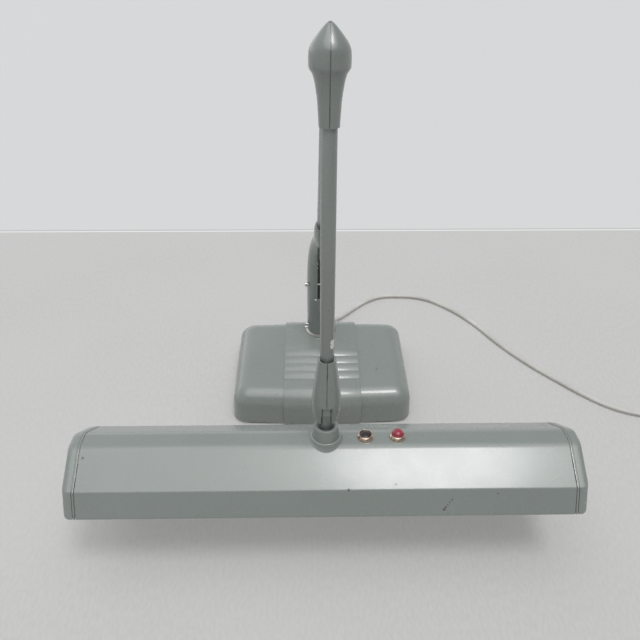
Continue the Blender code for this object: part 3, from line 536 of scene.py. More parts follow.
def apply_modifiers(obj):
    bpy.context.view_layer.update()
    graph = bpy.context.evaluated_depsgraph_get()
    mesh = bpy.data.meshes.new_from_object(obj.evaluated_get(graph))
    obj.modifiers.clear()
    obj.data = mesh


def combine(obj, operation, *tools):
    """Join other solids to an object or cut them from it; the other solids are used up."""
    for tool in tools:
        modifier = obj.modifiers.new(tool.name, 'BOOLEAN')
        modifier.operation = operation
        modifier.object = tool
        modifier.solver = 'EXACT'
    apply_modifiers(obj)
    for tool in tools:
        bpy.data.objects.remove(tool, do_unlink=True)
    return obj


def graft(obj, others):
    """Add other objects' meshes to an object's mesh."""
    bm = bmesh.new()
    bm.from_mesh(obj.data)
    for other in others:
        mesh = other.data
        mesh.transform(obj.matrix_world.inverted() @ other.matrix_world)
        bm.from_mesh(mesh)
        bpy.data.objects.remove(other, do_unlink=True)
    bmesh.ops.recalc_face_normals(bm, faces=bm.faces)
    bm.to_mesh(obj.data)
    bm.free()


def soften(obj, width, segments=2, angle=32):
    """Round an object's sharp edges."""
    bevel = obj.modifiers.new("Soft edges", 'BEVEL')
    bevel.width = width
    bevel.segments = segments
    bevel.limit_method = 'ANGLE'
    bevel.angle_limit = math.radians(angle)


def dress(obj, body, replaced=(), slot="enamel", finish=None, sharp=40):
    """Give a finished piece its body and its material, which is its slot's unless one is given."""
    obj.data.materials.clear()
    obj.data.materials.append(finish or FINISHES[slot])
    obj.data.shade_smooth()
    obj.data.set_sharp_from_angle(angle=math.radians(sharp))
    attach(obj, body)
    if replaced:
        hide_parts(*replaced)


def block(low, high, place=BASE, name="block"):
    outline = [(low[1], low[2]), (high[1], low[2]), (high[1], high[2]), (low[1], high[2])]
    return solid(name, prism_mesh(outline, low[0], high[0]), place)


def bar(radius, half_length, y, z, place, name="bar", steps=32):
    """A round bar along X."""
    outline = hull([(y, z, radius)], steps)
    return solid(name, prism_mesh(outline, -half_length, half_length), place)


# ---------------------------------------------------------------- base
BASE_LOW, BASE_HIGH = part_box("base_cover")
GLAND_LOW, GLAND_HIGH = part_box("cord_grommet")
GLAND = (Matrix.Translation(((GLAND_LOW.x + GLAND_HIGH.x) / 2, 0, (GLAND_LOW.z + GLAND_HIGH.z) / 2))
         @ Matrix.Rotation(-math.pi / 2, 4, 'X'))
BAND_PROUD = 0.0015               # the CAD band stands this far off the base
BAND_STAND = BAND_PROUD + 0.0005
BASE_HALF_WIDTH = BASE_HIGH.x
BASE_HALF_DEPTH = BASE_HIGH.y - BAND_PROUD
BASE_TOP = 0.0575
EDGE_RADIUS = 0.0250
BASE_BOW = 0.05                   # share by which the front and back curve in at the corners
BASE_TAPER = 0.0016
BASE_WALL = 0.0024
CORD_HOLE = 0.0063
BAND_HALF = 0.059
RIB_COUNT = 4
RIB_PITCH = 0.0175
RIB_FIRST_Y = 0.0090
RIB_PROFILE = [(0.0, 0.0), (0.0004, 0.0030), (0.0010, 0.0038), (0.0020, 0.0038), (0.0084, 0.0018),
               (0.0146, -0.0006), (0.0152, -0.0014), (0.0160, -0.0014), (0.0168, 0.0)]


def subdivided(corners, pieces=8):
    """An outline of (a, b, radius) corners with extra points along its first and third sides."""
    fine = []
    for i, (a, b, radius) in enumerate(corners):
        fine.append((a, b, radius))
        if i % 2 == 0:
            next_a, next_b, _ = corners[(i + 1) % len(corners)]
            for step in range(1, pieces):
                share = step / pieces
                fine.append((a + (next_a - a) * share, b + (next_b - b) * share, 0))
    return fine


def base_ring(z, edge):
    """Plan outline of the base at a height: rounded corners, front and back slightly bowed."""
    half_x = BASE_HALF_WIDTH - edge
    half_y = BASE_HALF_DEPTH - edge
    corner = max(0.021 - edge * 0.5, 0.004)
    corners = [(half_x, half_y, corner), (-half_x, half_y, corner), (-half_x, -half_y, corner),
               (half_x, -half_y, corner)]
    ring = rounded(subdivided(corners), closed=True, steps=10)
    return [(x, y * (1 - BASE_BOW * (x / BASE_HALF_WIDTH) ** 2), z) for x, y in ring]


def base_body(name, inset_by, low, top):
    """A block with tapering sides and a rounded top edge."""
    shoulder = inset_by + BASE_TAPER
    levels = [(low, inset_by), (top - EDGE_RADIUS, shoulder)]
    for step in range(1, 11):
        angle = math.radians(9 * step)
        levels.append((top - EDGE_RADIUS + EDGE_RADIUS * math.sin(angle),
                       shoulder + EDGE_RADIUS * (1 - math.cos(angle))))
    levels.append((top + 0.0001, shoulder + EDGE_RADIUS + 0.012))
    return solid(name, loft_mesh([base_ring(z, edge) for z, edge in levels]))


def band_outline():
    """Side view of the centre band, with its ribs along the top."""
    reach = BASE_HALF_DEPTH + BAND_STAND
    top = BASE_TOP + BAND_STAND
    edge = EDGE_RADIUS + 0.0012
    front = rounded([(-reach, BASE_LOW.z, 0), (-reach + 0.0010, top, edge), (0.0, top, 0)], steps=14)
    outline = front[:-1]
    for rib in reversed(range(RIB_COUNT)):
        rear = RIB_FIRST_Y - rib * RIB_PITCH
        outline += [(rear - forward, top + up) for forward, up in reversed(RIB_PROFILE)]
    outline += rounded([(0.030, top, 0), (reach - 0.0010, top, edge), (reach, BASE_LOW.z, 0)],
                       steps=14)
    return outline


def make_base():
    cover = base_body("base_shell", 0.0, BASE_LOW.z, BASE_TOP)
    band = solid("band", prism_mesh(band_outline(), -BAND_HALF, BAND_HALF), tidy=False)
    soften(band, 0.0004, 2, 60)
    apply_modifiers(band)
    hollow = base_body("hollow", BASE_WALL, BASE_LOW.z - 0.01, BASE_TOP - BASE_WALL)
    hole_profile = [(0.0, 0.08), (CORD_HOLE, 0.08), (CORD_HOLE, 0.12), (0.0, 0.12)]
    hole = solid("hole", lathe_mesh(hole_profile, 32), GLAND)
    combine(cover, 'UNION', band)
    combine(cover, 'DIFFERENCE', hollow, hole)
    soften(cover, 0.0004, 2, 45)
    dress(cover, "base", ["base_cover"], finish=ENAMEL_BASE, sharp=38)

    low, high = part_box("swivel_ring")
    outer = high.x
    bore = 0.0115
    profile = rounded([(bore, low.z, 0), (outer, low.z, 0.0006),
                       (outer - 0.0006, low.z + 0.0026, 0.0008), (outer - 0.0028, high.z, 0.0014),
                       (bore, high.z, 0)])
    ring = solid("swivel_collar", lathe_mesh(profile, 96), Matrix.Translation((0, LOWER_PIVOT.y, 0)))
    dress(ring, "base", ["swivel_ring"], "chrome", finish=FINISHES["steel"])


# ---------------------------------------------------------------- turret
TURRET_FOOT = 0.066
TURRET_PROFILE = [(0.0008, 0.2424), (0.0060, 0.2418), (0.0113, 0.2385), (0.0150, 0.2320),
                  (0.0178, 0.2230), (0.0199, 0.2100), (0.0213, 0.1960), (0.0222, 0.1770),
                  (0.0225, 0.1500), (0.0225, 0.1200), (0.0225, 0.0900), (0.0225, 0.0700),
                  (0.0222, 0.0668), (0.0216, TURRET_FOOT)]
TURRET_DEPTH = 1.11               # front to back, as a share of the width
TURRET_RIDGE = 2.5                # power of its plan outline; 2 is an ellipse
TURRET_WALL = 0.0022
SLOT_HALF = 0.0060
SEAM = 0.0010


def make_turret():
    outer = smooth(TURRET_PROFILE, 4)
    inner = inset(outer, TURRET_WALL)
    for side, label in SIDES:
        shell = solid(f"turret_half_{label}", half_shell_mesh(outer, inner, side, SEAM * 0.6,
                                                              TURRET_DEPTH, TURRET_RIDGE), TURRET)
        slot = block((-SLOT_HALF, -0.040, 0.138), (SLOT_HALF, 0.016, 0.30), TURRET, "slot")
        combine(shell, 'DIFFERENCE', slot)
        soften(shell, 0.0006, 3, 50)
        dress(shell, "turret", [f"turret_shell_{label}"], finish=ENAMEL_TURRET)
    leftwards = Matrix.Rotation(-math.pi / 2, 4, 'Y')
    forwards = Matrix.Rotation(math.pi / 2, 4, 'X')
    for z, label in ((0.081, "lower"), (0.161, "upper")):
        screw = make_screw(f"turret_screw_head_{label}", 0.0036, 0.0026)
        screw.matrix_world = TURRET @ Matrix.Translation((-0.0222, -0.014, z)) @ leftwards
        dress(screw, "turret", (), "steel")
    studs = [("swivel_stop_pin", [(0.0, 0.0050, 0), (0.0019, 0.0050, 0.0012), (0.0019, 0.0, 0)],
              (-0.0215, -0.0100, 0.0712), leftwards),
             ("slot_rivet", [(0.0, 0.0013, 0), (0.0017, 0.0012, 0.0008), (0.0020, 0.0, 0)],
              (-0.0085, -0.0236, 0.1370), forwards)]
    for name, profile, point, turn in studs:
        stud = solid(name, lathe_mesh(rounded(profile), 24),
                     TURRET @ Matrix.Translation(point) @ turn)
        dress(stud, "turret", (), "steel", finish=FINISHES["chrome"])


def make_screw(name, radius, height):
    """A slotted round-head screw, its head along +Z."""
    profile = [(0.0, height, 0), (radius * 0.80, height * 0.86, radius * 0.5),
               (radius, height * 0.25, radius * 0.15), (radius, 0.0, 0), (0.0, 0.0, 0)]
    head = solid(name, lathe_mesh(rounded(profile), 32))
    slot = block((-radius * 1.2, -radius * 0.13, height * 0.55),
                 (radius * 1.2, radius * 0.13, height * 1.4), name="screw_slot")
    return combine(head, 'DIFFERENCE', slot)


# ---------------------------------------------------------------- arms
TUBE_RADIUS = 0.00775
TUBE_BORE = 0.00675
LOWER_SHIFT = 0.004               # tube centre lines, off the lines through their pivots
UPPER_SHIFT = -0.0035
FERRULE_TOP = 0.136
COVER_WALL = 0.0012
LIP_OUT, LIP_IN = 0.0019, 0.0029  # the seam lip's two faces, below the cover's outer surface
LIP_HALF = 0.0018


def make_tube(name, bottom, top, shift, place, body, replaced):
    profile = rounded([(TUBE_BORE, bottom, 0.0004), (TUBE_RADIUS, bottom, 0.0004),
                       (TUBE_RADIUS, top, 0.0004), (TUBE_BORE, top, 0.0004)], closed=True, steps=2)
    tube = solid(name, lathe_mesh(profile, 64, closed=True), place @ Matrix.Translation((0, shift, 0)))
    dress(tube, body, [replaced])


def make_lower_arm():
    make_tube("lower_tube", FERRULE_TOP - 0.008, LOWER_LENGTH - 0.040, LOWER_SHIFT, LOWER,
              "lower_arm", "lower_arm_tube")
    bore = TUBE_RADIUS + 0.0007
    curve = smooth([(0.0101, FERRULE_TOP - 0.0006), (0.0112, 0.1280), (0.0119, 0.1080),
                    (0.0110, 0.0880), (0.0083, 0.0700), (0.0055, 0.0600), (0.0035, 0.0560)], 6)
    profile = [(0.0, FERRULE_TOP - 0.0083), (bore, FERRULE_TOP - 0.0083), (bore, FERRULE_TOP - 0.0004),
               (bore + 0.0004, FERRULE_TOP), (0.0096, FERRULE_TOP)] + curve + [(0.0, 0.0550)]
    bud = solid("lower_ferrule", lathe_mesh(profile, 64),
                LOWER @ Matrix.Translation((0, LOWER_SHIFT, 0)))
    outline = hull([(0, 0, 0.0046), (0, -0.018, 0.0030), (-0.0004, 0.075, 0.0046)])
    tongue = solid("tongue", prism_mesh(outline, -0.0042, 0.0042), LOWER)
    combine(bud, 'UNION', tongue)
    combine(bud, 'DIFFERENCE', bar(0.0025, 0.02, 0, 0, LOWER))
    soften(bud, 0.0004, 2, 50)
    dress(bud, "lower_arm", ["lower_arm_ferrule"], sharp=45)


def make_upper_arm():
    make_tube("upper_tube", -UPPER_LENGTH + 0.030, -0.040, UPPER_SHIFT, UPPER, "upper_arm",
              "upper_arm_tube")


def cover_half(name, profile, side, place, power, make_cuts, lip_heights):
    """Half of a two-part cover; the left half has a lip inside that laps the seam."""
    inner = inset(profile, COVER_WALL)
    shell = solid(name, half_shell_mesh(profile, inner, side, SEAM, 1.0, power), place)
    combine(shell, 'DIFFERENCE', *make_cuts())
    if side < 0:
        low, high = lip_heights
        lapped = [(r, z) for r, z in profile if low < z < high]
        for end in (-1, 1):
            lip = [(end * max(r - LIP_OUT, 0.0006), z - 0.0008) for r, z in lapped]
            lip += [(end * max(r - LIP_IN, 0.0001), z - 0.0013) for r, z in reversed(lapped)]
            strip = solid("seam_lip", prism_mesh(lip, -LIP_HALF, LIP_HALF), place)
            combine(strip, 'DIFFERENCE', *make_cuts())
            graft(shell, [strip])
    soften(shell, 0.0004, 2, 50)
    return shell


# ---------------------------------------------------------------- elbow cover
ELBOW_PROFILE = [(0.0006, 0.0287), (0.0044, 0.0257), (0.0086, 0.0212), (0.0125, 0.0165),
                 (0.0160, 0.0115), (0.0181, 0.0071), (0.0188, 0.0023), (0.0188, -0.0073),
                 (0.0175, -0.0106), (0.0157, -0.0134), (0.0139, -0.0188), (0.0124, -0.0271),
                 (0.0112, -0.0356), (0.0106, -0.0442), (0.0101, -0.0529), (0.0098, -0.0590)]
ELBOW_SWEEP = [(-0.004, 0.0100), (-0.006, 0.0), (-0.003, -0.008), (0.0045, -0.036),
               (0.0060, -0.048), (0.080, -0.048), (0.080, 0.0420), (0.012, 0.0175)]


def elbow_cuts():
    return [solid("slot", prism_mesh(ELBOW_SWEEP, -0.0084, 0.0084), UPPER)]


def make_elbow_cover():
    outer = smooth(ELBOW_PROFILE, 5)
    place = UPPER @ Matrix.Translation((0, UPPER_SHIFT, 0))
    for side, label in SIDES:
        shell = cover_half(f"elbow_half_{label}", outer, side, place, 1.9, elbow_cuts, (-0.040, 1.0))
        dress(shell, "upper_arm", [f"elbow_cover_{label}"], sharp=42)


# ---------------------------------------------------------------- head
HEAD_PROFILE = [(0.0100, 0.0354), (0.0121, 0.0180), (0.0140, 0.0030), (0.0158, -0.0120),
                (0.0168, -0.0240), (0.0168, -0.0340), (0.0160, -0.0430), (0.0146, -0.0510),
                (0.0127, -0.0576), (0.0097, -0.0616), (0.0050, -0.0629), (0.0006, -0.0632)]


def head_cuts():
    rear_slot = block((-0.0086, 0.003, -0.010), (0.0086, 0.040, 0.060), HEAD, "rear_slot")
    knuckle_slot = block((-0.0064, -0.040, -0.070), (0.0064, 0.040, -0.0274), HEAD, "knuckle_slot")
    return [rear_slot, knuckle_slot]


def make_head():
    outer = smooth(HEAD_PROFILE, 5)
    for side, label in SIDES:
        shell = cover_half(f"head_half_{label}", outer, side, HEAD, 2.0, head_cuts, (-1.0, 0.016))
        dress(shell, "head", [f"head_casing_{label}"], sharp=42)


def make_knuckle():
    outline = hull([(0, 0, 0.0131), (0, -0.024, 0.0055)], 56)
    tongue = solid("hinge_tongue", prism_mesh(outline, -0.0052, 0.0052), TILT)
    soften(tongue, 0.0014, 3, 50)
    apply_modifiers(tongue)
    stem = solid("stem", lathe_mesh([(0.0, -0.0600), (0.0055, -0.0600), (0.0060, -0.0595),
                                     (0.0060, -0.0150), (0.0, -0.0150)], 40), TILT)
    combine(tongue, 'UNION', stem)
    combine(tongue, 'DIFFERENCE', bar(0.0023, 0.02, 0, 0, TILT))
    dress(tongue, "knuckle", ["shade_knuckle"])


# ---------------------------------------------------------------- shade
SHADE_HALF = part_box("end_cap_right")[1].x
SHELL_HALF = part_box("shade_shell")[1].x
WALL = 0.0012
CROWN_HALF = 0.0123
SLOPE_LENGTH = 0.0533
SLOPE_ANGLE = math.radians(32.9)
SKIRT_LENGTH = 0.0326
SKIRT_ANGLE = math.radians(67.6)
CROWN_FLAT = 0.0058               # half width of the level strip along the top
CROWN_RADIUS = (CROWN_HALF - CROWN_FLAT) / math.tan(SLOPE_ANGLE / 2)


def shade_section(inside=0.0):
    """The shade's section from its front lip over the crown to its rear lip, as (y, z) points."""
    crease_y = CROWN_HALF + SLOPE_LENGTH * math.cos(SLOPE_ANGLE)
    crease_z = -SLOPE_LENGTH * math.sin(SLOPE_ANGLE)
    lip_y = crease_y + SKIRT_LENGTH * math.cos(SKIRT_ANGLE)
    lip_z = crease_z - SKIRT_LENGTH * math.sin(SKIRT_ANGLE)
    slope_shift = inside * math.tan(SLOPE_ANGLE / 2)
    crease_shift = inside * math.tan((SKIRT_ANGLE - SLOPE_ANGLE) / 2)
    crown_y = CROWN_HALF - slope_shift
    crease = (crease_y - inside * math.sin(SLOPE_ANGLE) - crease_shift * math.cos(SLOPE_ANGLE),
              crease_z - inside * math.cos(SLOPE_ANGLE) + crease_shift * math.sin(SLOPE_ANGLE))
    lip = lip_y - inside / math.sin(SKIRT_ANGLE)
    front = [(-lip, lip_z, 0), (-crease[0], crease[1], 0.0045 - inside),
             (-crown_y, -inside, CROWN_RADIUS - inside)]
    rear = [(-y, z, radius) for y, z, radius in reversed(front)]
    return rounded(front + rear, steps=8)


def crown_height(y):
    """Height of the shade's top surface near its crown."""
    past_flat = max(abs(y) - CROWN_FLAT, 0.0)
    if past_flat > CROWN_RADIUS * math.sin(SLOPE_ANGLE):
        return -(abs(y) - CROWN_HALF) * math.tan(SLOPE_ANGLE)
    return math.sqrt(CROWN_RADIUS ** 2 - past_flat ** 2) - CROWN_RADIUS


def make_shell():
    """The folded sheet, with a lip turned in and up along its front and its rear."""
    outer = shade_section()
    outline = outer + list(reversed(shade_section(WALL)))
    shell = solid("shade_body", prism_mesh(outline, -SHELL_HALF, SHELL_HALF), SHADE, tidy=False)
    soften(shell, 0.0003, 2, 50)
    dress(shell, "shade", ["shade_shell"], finish=ENAMEL_SHADE, sharp=28)
    reach, low_z = -outer[0][0], outer[0][1]
    fold = reach - 0.0060
    top = low_z + 0.0030
    thick = WALL * 0.8
    profile = rounded([(reach - 0.0003, low_z + 0.0012, 0), (reach + 0.0002, low_z - 0.0004, 0.0005),
                       (fold, low_z - 0.0004, 0.0004), (fold, top, 0), (fold + thick, top, 0),
                       (fold + thick, low_z + 0.0007, 0), (reach - WALL * 1.3, low_z + 0.0007, 0)],
                      closed=True, steps=3)
    for side, label in ((-1, "front"), (1, "rear")):
        edge = [(side * y, z) for y, z in profile]
        lip = solid(f"shade_lip_{label}", prism_mesh(edge, -SHELL_HALF, SHELL_HALF), SHADE)
        dress(lip, "shade", finish=ENAMEL_SHADE, sharp=35)


def make_end_caps():
    """Pressed pans with a narrow bead next to the shell and a rounded outer edge."""
    section = shade_section()
    middle_z = sum(z for _, z in section) / len(section)
    start = SHELL_HALF + GAP
    length = SHADE_HALF - start
    stations = [(0.0006, 0.970), (0.0006, 1.000), (0.0010, 1.005), (0.0020, 1.005), (0.0025, 1.000),
                (0.0026, 0.972), (0.0034, 0.972), (0.0035, 1.000), (0.0070, 0.999), (0.0095, 0.992),
                (0.0114, 0.978), (0.0129, 0.956), (0.0140, 0.928), (0.0146, 0.895),
                (length, 0.850), (length + 0.0006, 0.600), (length + 0.0008, 0.300)]
    for side, label in SIDES:
        rings = []
        for x, share in stations:
            rings.append([(side * (start + x), y * share, middle_z + (z - middle_z) * share)
                          for y, z in section])
        cap = solid(f"shade_cap_{label}", loft_mesh(rings, open_end=True), SHADE)
        thick = cap.modifiers.new("Sheet", 'SOLIDIFY')
        thick.thickness = WALL * 0.8
        thick.offset = -1.0
        apply_modifiers(cap)
        dress(cap, "shade", [f"end_cap_{label}"], finish=ENAMEL_SHADE)


def draped_ring(radius, height=None, steps=96):
    """A ring that follows the crown, the more so the lower it is; with no height it lies on it."""
    ring = []
    for x, y in circle(steps):
        x, y = radius * x, radius * y
        z = crown_height(y) + 0.0001
        if height is not None:
            share = max(0.0, min(1.0, (0.0052 - height) / 0.0062))
            z = max(height + share * crown_height(y), z)
        ring.append((x, y, z))
    return ring


def make_neck():
    """A conical collar above a beaded flange that drapes over the crown."""
    bore = 0.0068
    cone = rounded([(bore, 0.0150, 0), (0.0108, 0.0206, 0.0004), (0.0141, 0.0210, 0.0007),
                    (0.0147, 0.0188, 0.0008), (0.0156, 0.0100, 0.02), (0.0163, 0.0042, 0.0003),
                    (bore, 0.0042, 0)], closed=True, steps=5)
    collar = solid("neck_cone", lathe_mesh(cone, 80, closed=True), SHADE)
    dress(collar, "shade", ["neck_collar"], sharp=45)

    bead = rounded([(0.0160, 0.0030, 0), (0.0160, 0.0052, 0.0006), (0.0182, 0.0052, 0.0016),
                    (0.0190, 0.0022, 0.0014), (0.0205, -0.0010, 0.0)], steps=6)
    rings = [draped_ring(radius, height) for radius, height in bead]
    rings += [draped_ring(0.0206), draped_ring(0.0070), draped_ring(0.0070, 0.0030)]
    flange = solid("neck_flange", hoop_mesh(rings), SHADE)
    dress(flange, "shade", ["saddle_flange"], sharp=50)


LAMP_RADIUS = 0.0190              # T12 glass
LAMP_HALF = 0.2949


def make_lamp(label):
    """A fluorescent tube: glass drawn in at its ends, aluminium caps and two pins at each."""
    low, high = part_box(f"lamp_{label}")
    middle = SHADE.inverted() @ ((low + high) / 2)
    lie = SHADE @ Matrix.Translation(middle) @ Matrix.Rotation(math.pi / 2, 4, 'Y')
    end = LAMP_HALF - 0.0135
    taper = [(LAMP_RADIUS, end - 0.0060), (LAMP_RADIUS - 0.0008, end - 0.0030),
             (LAMP_RADIUS - 0.0035, end), (0.0, end)]
    profile = [(r, -z) for r, z in reversed(taper)] + taper
    glass = solid(f"lamp_glass_{label}", lathe_mesh(profile, 64), lie)
    dress(glass, "shade", [f"lamp_{label}"], "lamp_glass", sharp=50)
    cap_radius = LAMP_RADIUS - 0.0010
    cap_profile = rounded([(0.0, LAMP_HALF, 0), (cap_radius, LAMP_HALF, 0.0012),
                           (cap_radius, LAMP_HALF - 0.0120, 0.0006),
                           (LAMP_RADIUS - 0.0030, LAMP_HALF - 0.0150, 0)])
    tip, root = LAMP_HALF + 0.0062, LAMP_HALF - 0.0020
    for side in (-1, 1):
        cap = solid(f"lamp_cap_{label}_{side + 1}",
                    lathe_mesh([(r, side * z) for r, z in cap_profile], 48), lie)
        pin_profile = rounded([(0.0, side * tip, 0), (0.0012, side * tip, 0.0006),
                               (0.0012, side * root, 0), (0.0, side * root, 0)])
        graft(cap, [solid("pin", lathe_mesh(pin_profile, 16),
                          lie @ Matrix.Translation((pin * 0.00635, 0, 0))) for pin in (-1, 1)])
        dress(cap, "shade", (), "lamp_glass", finish=ALUMINIUM)


# ---------------------------------------------------------------- buttons
BUTTON_RADIUS = 0.0069


def make_button(label, profile, finish):
    """A push button's cap with its stem, inside a faceted dress nut."""
    low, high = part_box(f"{label}_bezel")
    x = (low.x + high.x) / 2
    place = SHADE @ Matrix.Translation((x, 0, 0))
    stem = [(0.0030, 0.0034), (0.0030, -0.0120), (0.0, -0.0120)]
    cap = solid(f"{label}_cap", lathe_mesh(rounded(profile) + stem, 48), place)
    dress(cap, f"{label}_button", [f"{label}_button"], finish, sharp=45)

    bore = BUTTON_RADIUS + 0.0004
    nut_profile = rounded([(bore, 0.0050, 0.0003), (0.0084, 0.0050, 0.0006), (0.0097, 0.0032, 0.0004),
                           (0.0097, -0.0012, 0.0), (bore, -0.0012, 0.0)], closed=True, steps=3)
    nut = solid(f"{label}_dress_nut", lathe_mesh(nut_profile, 48, closed=True), place)
    ring_profile = rounded([(bore - 0.0002, 0.0054, 0.0002), (bore + 0.0007, 0.0054, 0.0003),
                            (bore + 0.0007, 0.0046, 0.0), (bore - 0.0002, 0.0046, 0.0)],
                           closed=True, steps=2)
    graft(nut, [solid("ring", lathe_mesh(ring_profile, 48, closed=True), place)])
    for vertex in nut.data.vertices:
        reach = math.hypot(vertex.co.x, vertex.co.y)
        if reach > 0.0090:
            angle = math.atan2(vertex.co.y, vertex.co.x)
            knurl = 1.0 + 0.012 * math.cos(24 * angle)
            vertex.co.x *= knurl
            vertex.co.y *= knurl
    dress(nut, "shade", [f"{label}_bezel"], "nickel", sharp=50)


def make_buttons():
    make_button("stop", [(0.0, 0.0064, 0), (0.0052, 0.0060, 0.008), (BUTTON_RADIUS, 0.0046, 0.0012),
                         (BUTTON_RADIUS, 0.0034, 0), (0.0030, 0.0034, 0)], "black_plastic")
    make_button("start", [(0.0, 0.0108, 0), (0.0040, 0.0104, 0.004), (0.0064, 0.0080, 0.0032),
                          (BUTTON_RADIUS, 0.0050, 0.0012), (BUTTON_RADIUS, 0.0034, 0),
                          (0.0030, 0.0034, 0)], "red_plastic")


# ---------------------------------------------------------------- cord
CORD_RADIUS = 0.0035
COIL_OUTER = 0.0452
COIL_INNER = 0.0381
COIL_LOW = 0.0037
COIL_HIGH = 0.0108
COIL_CENTRE = (0.585, -0.140)
COIL_DEGREES = 1170               # three and a quarter turns
CORD_FALL = [
    (0.0200, 0.1261, 0.0150), (0.0204, 0.1330, 0.0149), (0.0228, 0.1420, 0.0138),
    (0.0278, 0.1510, 0.0112), (0.0345, 0.1600, 0.0078), (0.0425, 0.1695, 0.0049),
]
CORD_ON_FLOOR = [
    (0.0520, 0.1800), (0.0655, 0.1940), (0.0925, 0.2185), (0.1200, 0.2325), (0.1500, 0.2355),
    (0.2000, 0.2280), (0.2400, 0.2020), (0.2850, 0.1500), (0.3200, 0.0900), (0.3580, 0.0360),
    (0.3970, -0.0080), (0.4340, -0.0460), (0.4680, -0.0720), (0.5020, -0.0860), (0.5350, -0.0930),
    (0.5593, -0.0948),
]
CORD_ROUTE = CORD_FALL + [(x, y, COIL_LOW) for x, y in CORD_ON_FLOOR]
TAIL_ROUTE = [
    (0.6302, -0.1657, 0.0106), (0.6300, -0.1780, 0.0098), (0.6292, -0.1930, 0.0103),
    (0.6280, -0.2080, 0.0120), (0.6270, -0.2180, 0.0127),
]


def eased(value, start, end):
    share = max(0.0, min(1.0, (value - start) / (end - start)))
    return share * share * (3 - 2 * share)


def coil_points(step=20):
    """Two turns side by side on the floor, then the rest on top of them.

    The cord steps in to the inner turn, up to the upper layer and out again, each at a different
    place round the coil, so it never crosses itself.
    """
    points = []
    for angle in range(0, COIL_DEGREES + 1, step):
        inwards = eased(angle, 300, 360) - eased(angle, 900, 960)
        radius = COIL_OUTER + (COIL_INNER - COIL_OUTER) * inwards
        height = COIL_LOW + (COIL_HIGH - COIL_LOW) * eased(angle, 600, 660)
        turn = math.radians(angle)
        points.append((COIL_CENTRE[0] + radius * math.sin(turn),
                       COIL_CENTRE[1] + radius * math.cos(turn), height))
    return points


def make_gland():
    """A tapered, ribbed strain relief with its collar against the base."""
    bore, flange = 0.0038, 0.0084
    inner, end = GLAND_LOW.y, GLAND_HIGH.y
    wall = BASE_HIGH.y + 0.0003
    profile = [(bore, inner, 0), (flange, inner, 0.0006), (flange, inner + 0.0024, 0.0003),
               (0.0060, inner + 0.0026, 0), (0.0060, wall, 0), (flange, wall, 0.0004),
               (flange, wall + 0.0020, 0.0008)]
    ribs = 7
    pitch = (end - wall - 0.0040) / ribs
    for rib in range(ribs):
        y = wall + 0.0032 + pitch * rib
        radius = 0.0074 - 0.0022 * rib / ribs
        profile += [(radius - 0.0007, y, 0.0002), (radius, y + pitch * 0.25, 0.0004),
                    (radius - 0.0002, y + pitch * 0.70, 0.0004),
                    (radius - 0.0008, y + pitch * 0.9, 0.0002)]
    profile += [(0.0047, end, 0.0004), (bore, end, 0)]
    gland = solid("strain_relief",
                  lathe_mesh(rounded(profile, closed=True, steps=2), 48, closed=True), GLAND)
    dress(gland, "base", ["cord_grommet"], "black_plastic", finish=RUBBER, sharp=50)


def make_tie():
    """A band round the four turns of the coil."""
    middle = (COIL_OUTER + COIL_INNER) / 2
    half = (COIL_OUTER - COIL_INNER) / 2 + CORD_RADIUS
    low, high = COIL_LOW - CORD_RADIUS - 0.0001, COIL_HIGH + CORD_RADIUS
    rims = []
    for grow, width in ((0.0, -0.0040), (0.0, 0.0040), (0.0006, 0.0040), (0.0006, -0.0040)):
        loop = rounded([(-half - grow, low, CORD_RADIUS), (half + grow, low, CORD_RADIUS),
                        (half + grow, high + grow, CORD_RADIUS),
                        (-half - grow, high + grow, CORD_RADIUS)], closed=True, steps=6)
        rims.append([(width, y, z) for y, z in loop])
    turn = math.radians(45)
    place = (Matrix.Translation((COIL_CENTRE[0] + middle * math.sin(turn),
                                 COIL_CENTRE[1] + middle * math.cos(turn), 0))
             @ Matrix.Rotation(-turn, 4, 'Z'))
    tie = solid("cord_tie", hoop_mesh(rims), place)
    dress(tie, "base", (), "black_plastic", finish=RUBBER, sharp=45)
    return tie


def make_plug():
    """A two-blade plug that lies flat, its cord entry ribbed."""
    end, before = Vector(TAIL_ROUTE[-1]), Vector(TAIL_ROUTE[-2])
    along = Vector((end.x - before.x, end.y - before.y, 0)).normalized()
    place = Matrix.Translation(end) @ along.to_track_quat('Z', 'X').to_matrix().to_4x4()
    stations = [(0.0004, 0.0050, 0.0050), (0.0020, 0.0056, 0.0056), (0.0030, 0.0048, 0.0048),
                (0.0045, 0.0060, 0.0060), (0.0058, 0.0052, 0.0052), (0.0075, 0.0066, 0.0064),
                (0.0088, 0.0060, 0.0058), (0.0120, 0.0082, 0.0072), (0.0160, 0.0112, 0.0092),
                (0.0200, 0.0124, 0.0100), (0.0240, 0.0118, 0.0098), (0.0270, 0.0126, 0.0104),
                (0.0296, 0.0126, 0.0104), (0.0300, 0.0118, 0.0096)]
    rings = []
    for height, half_x, half_y in stations:
        rings.append([(half_x * math.copysign(abs(x) ** 0.8, x),
                       half_y * math.copysign(abs(y) ** 0.8, y), height) for x, y in circle(40)])
    body = solid("plug_body", loft_mesh(rings), place)
    dress(body, "base", ["plug"], "black_plastic")
    blades = []
    for side in (-1, 1):
        corners = rounded([(-0.0032, 0.0285, 0), (0.0032, 0.0285, 0), (0.0032, 0.0455, 0.0016),
                           (-0.0032, 0.0455, 0.0016)], closed=True, steps=4)
        x = side * 0.0063
        blade = solid(f"plug_blade_{side + 1}", prism_mesh(corners, x - 0.0008, x + 0.0008), place)
        hole = bar(0.0012, 0.02, 0, 0.0415, place)
        combine(blade, 'DIFFERENCE', hole)
        dress(blade, "base", (), "nickel")
        blades.append(blade)
    return [body, *blades]


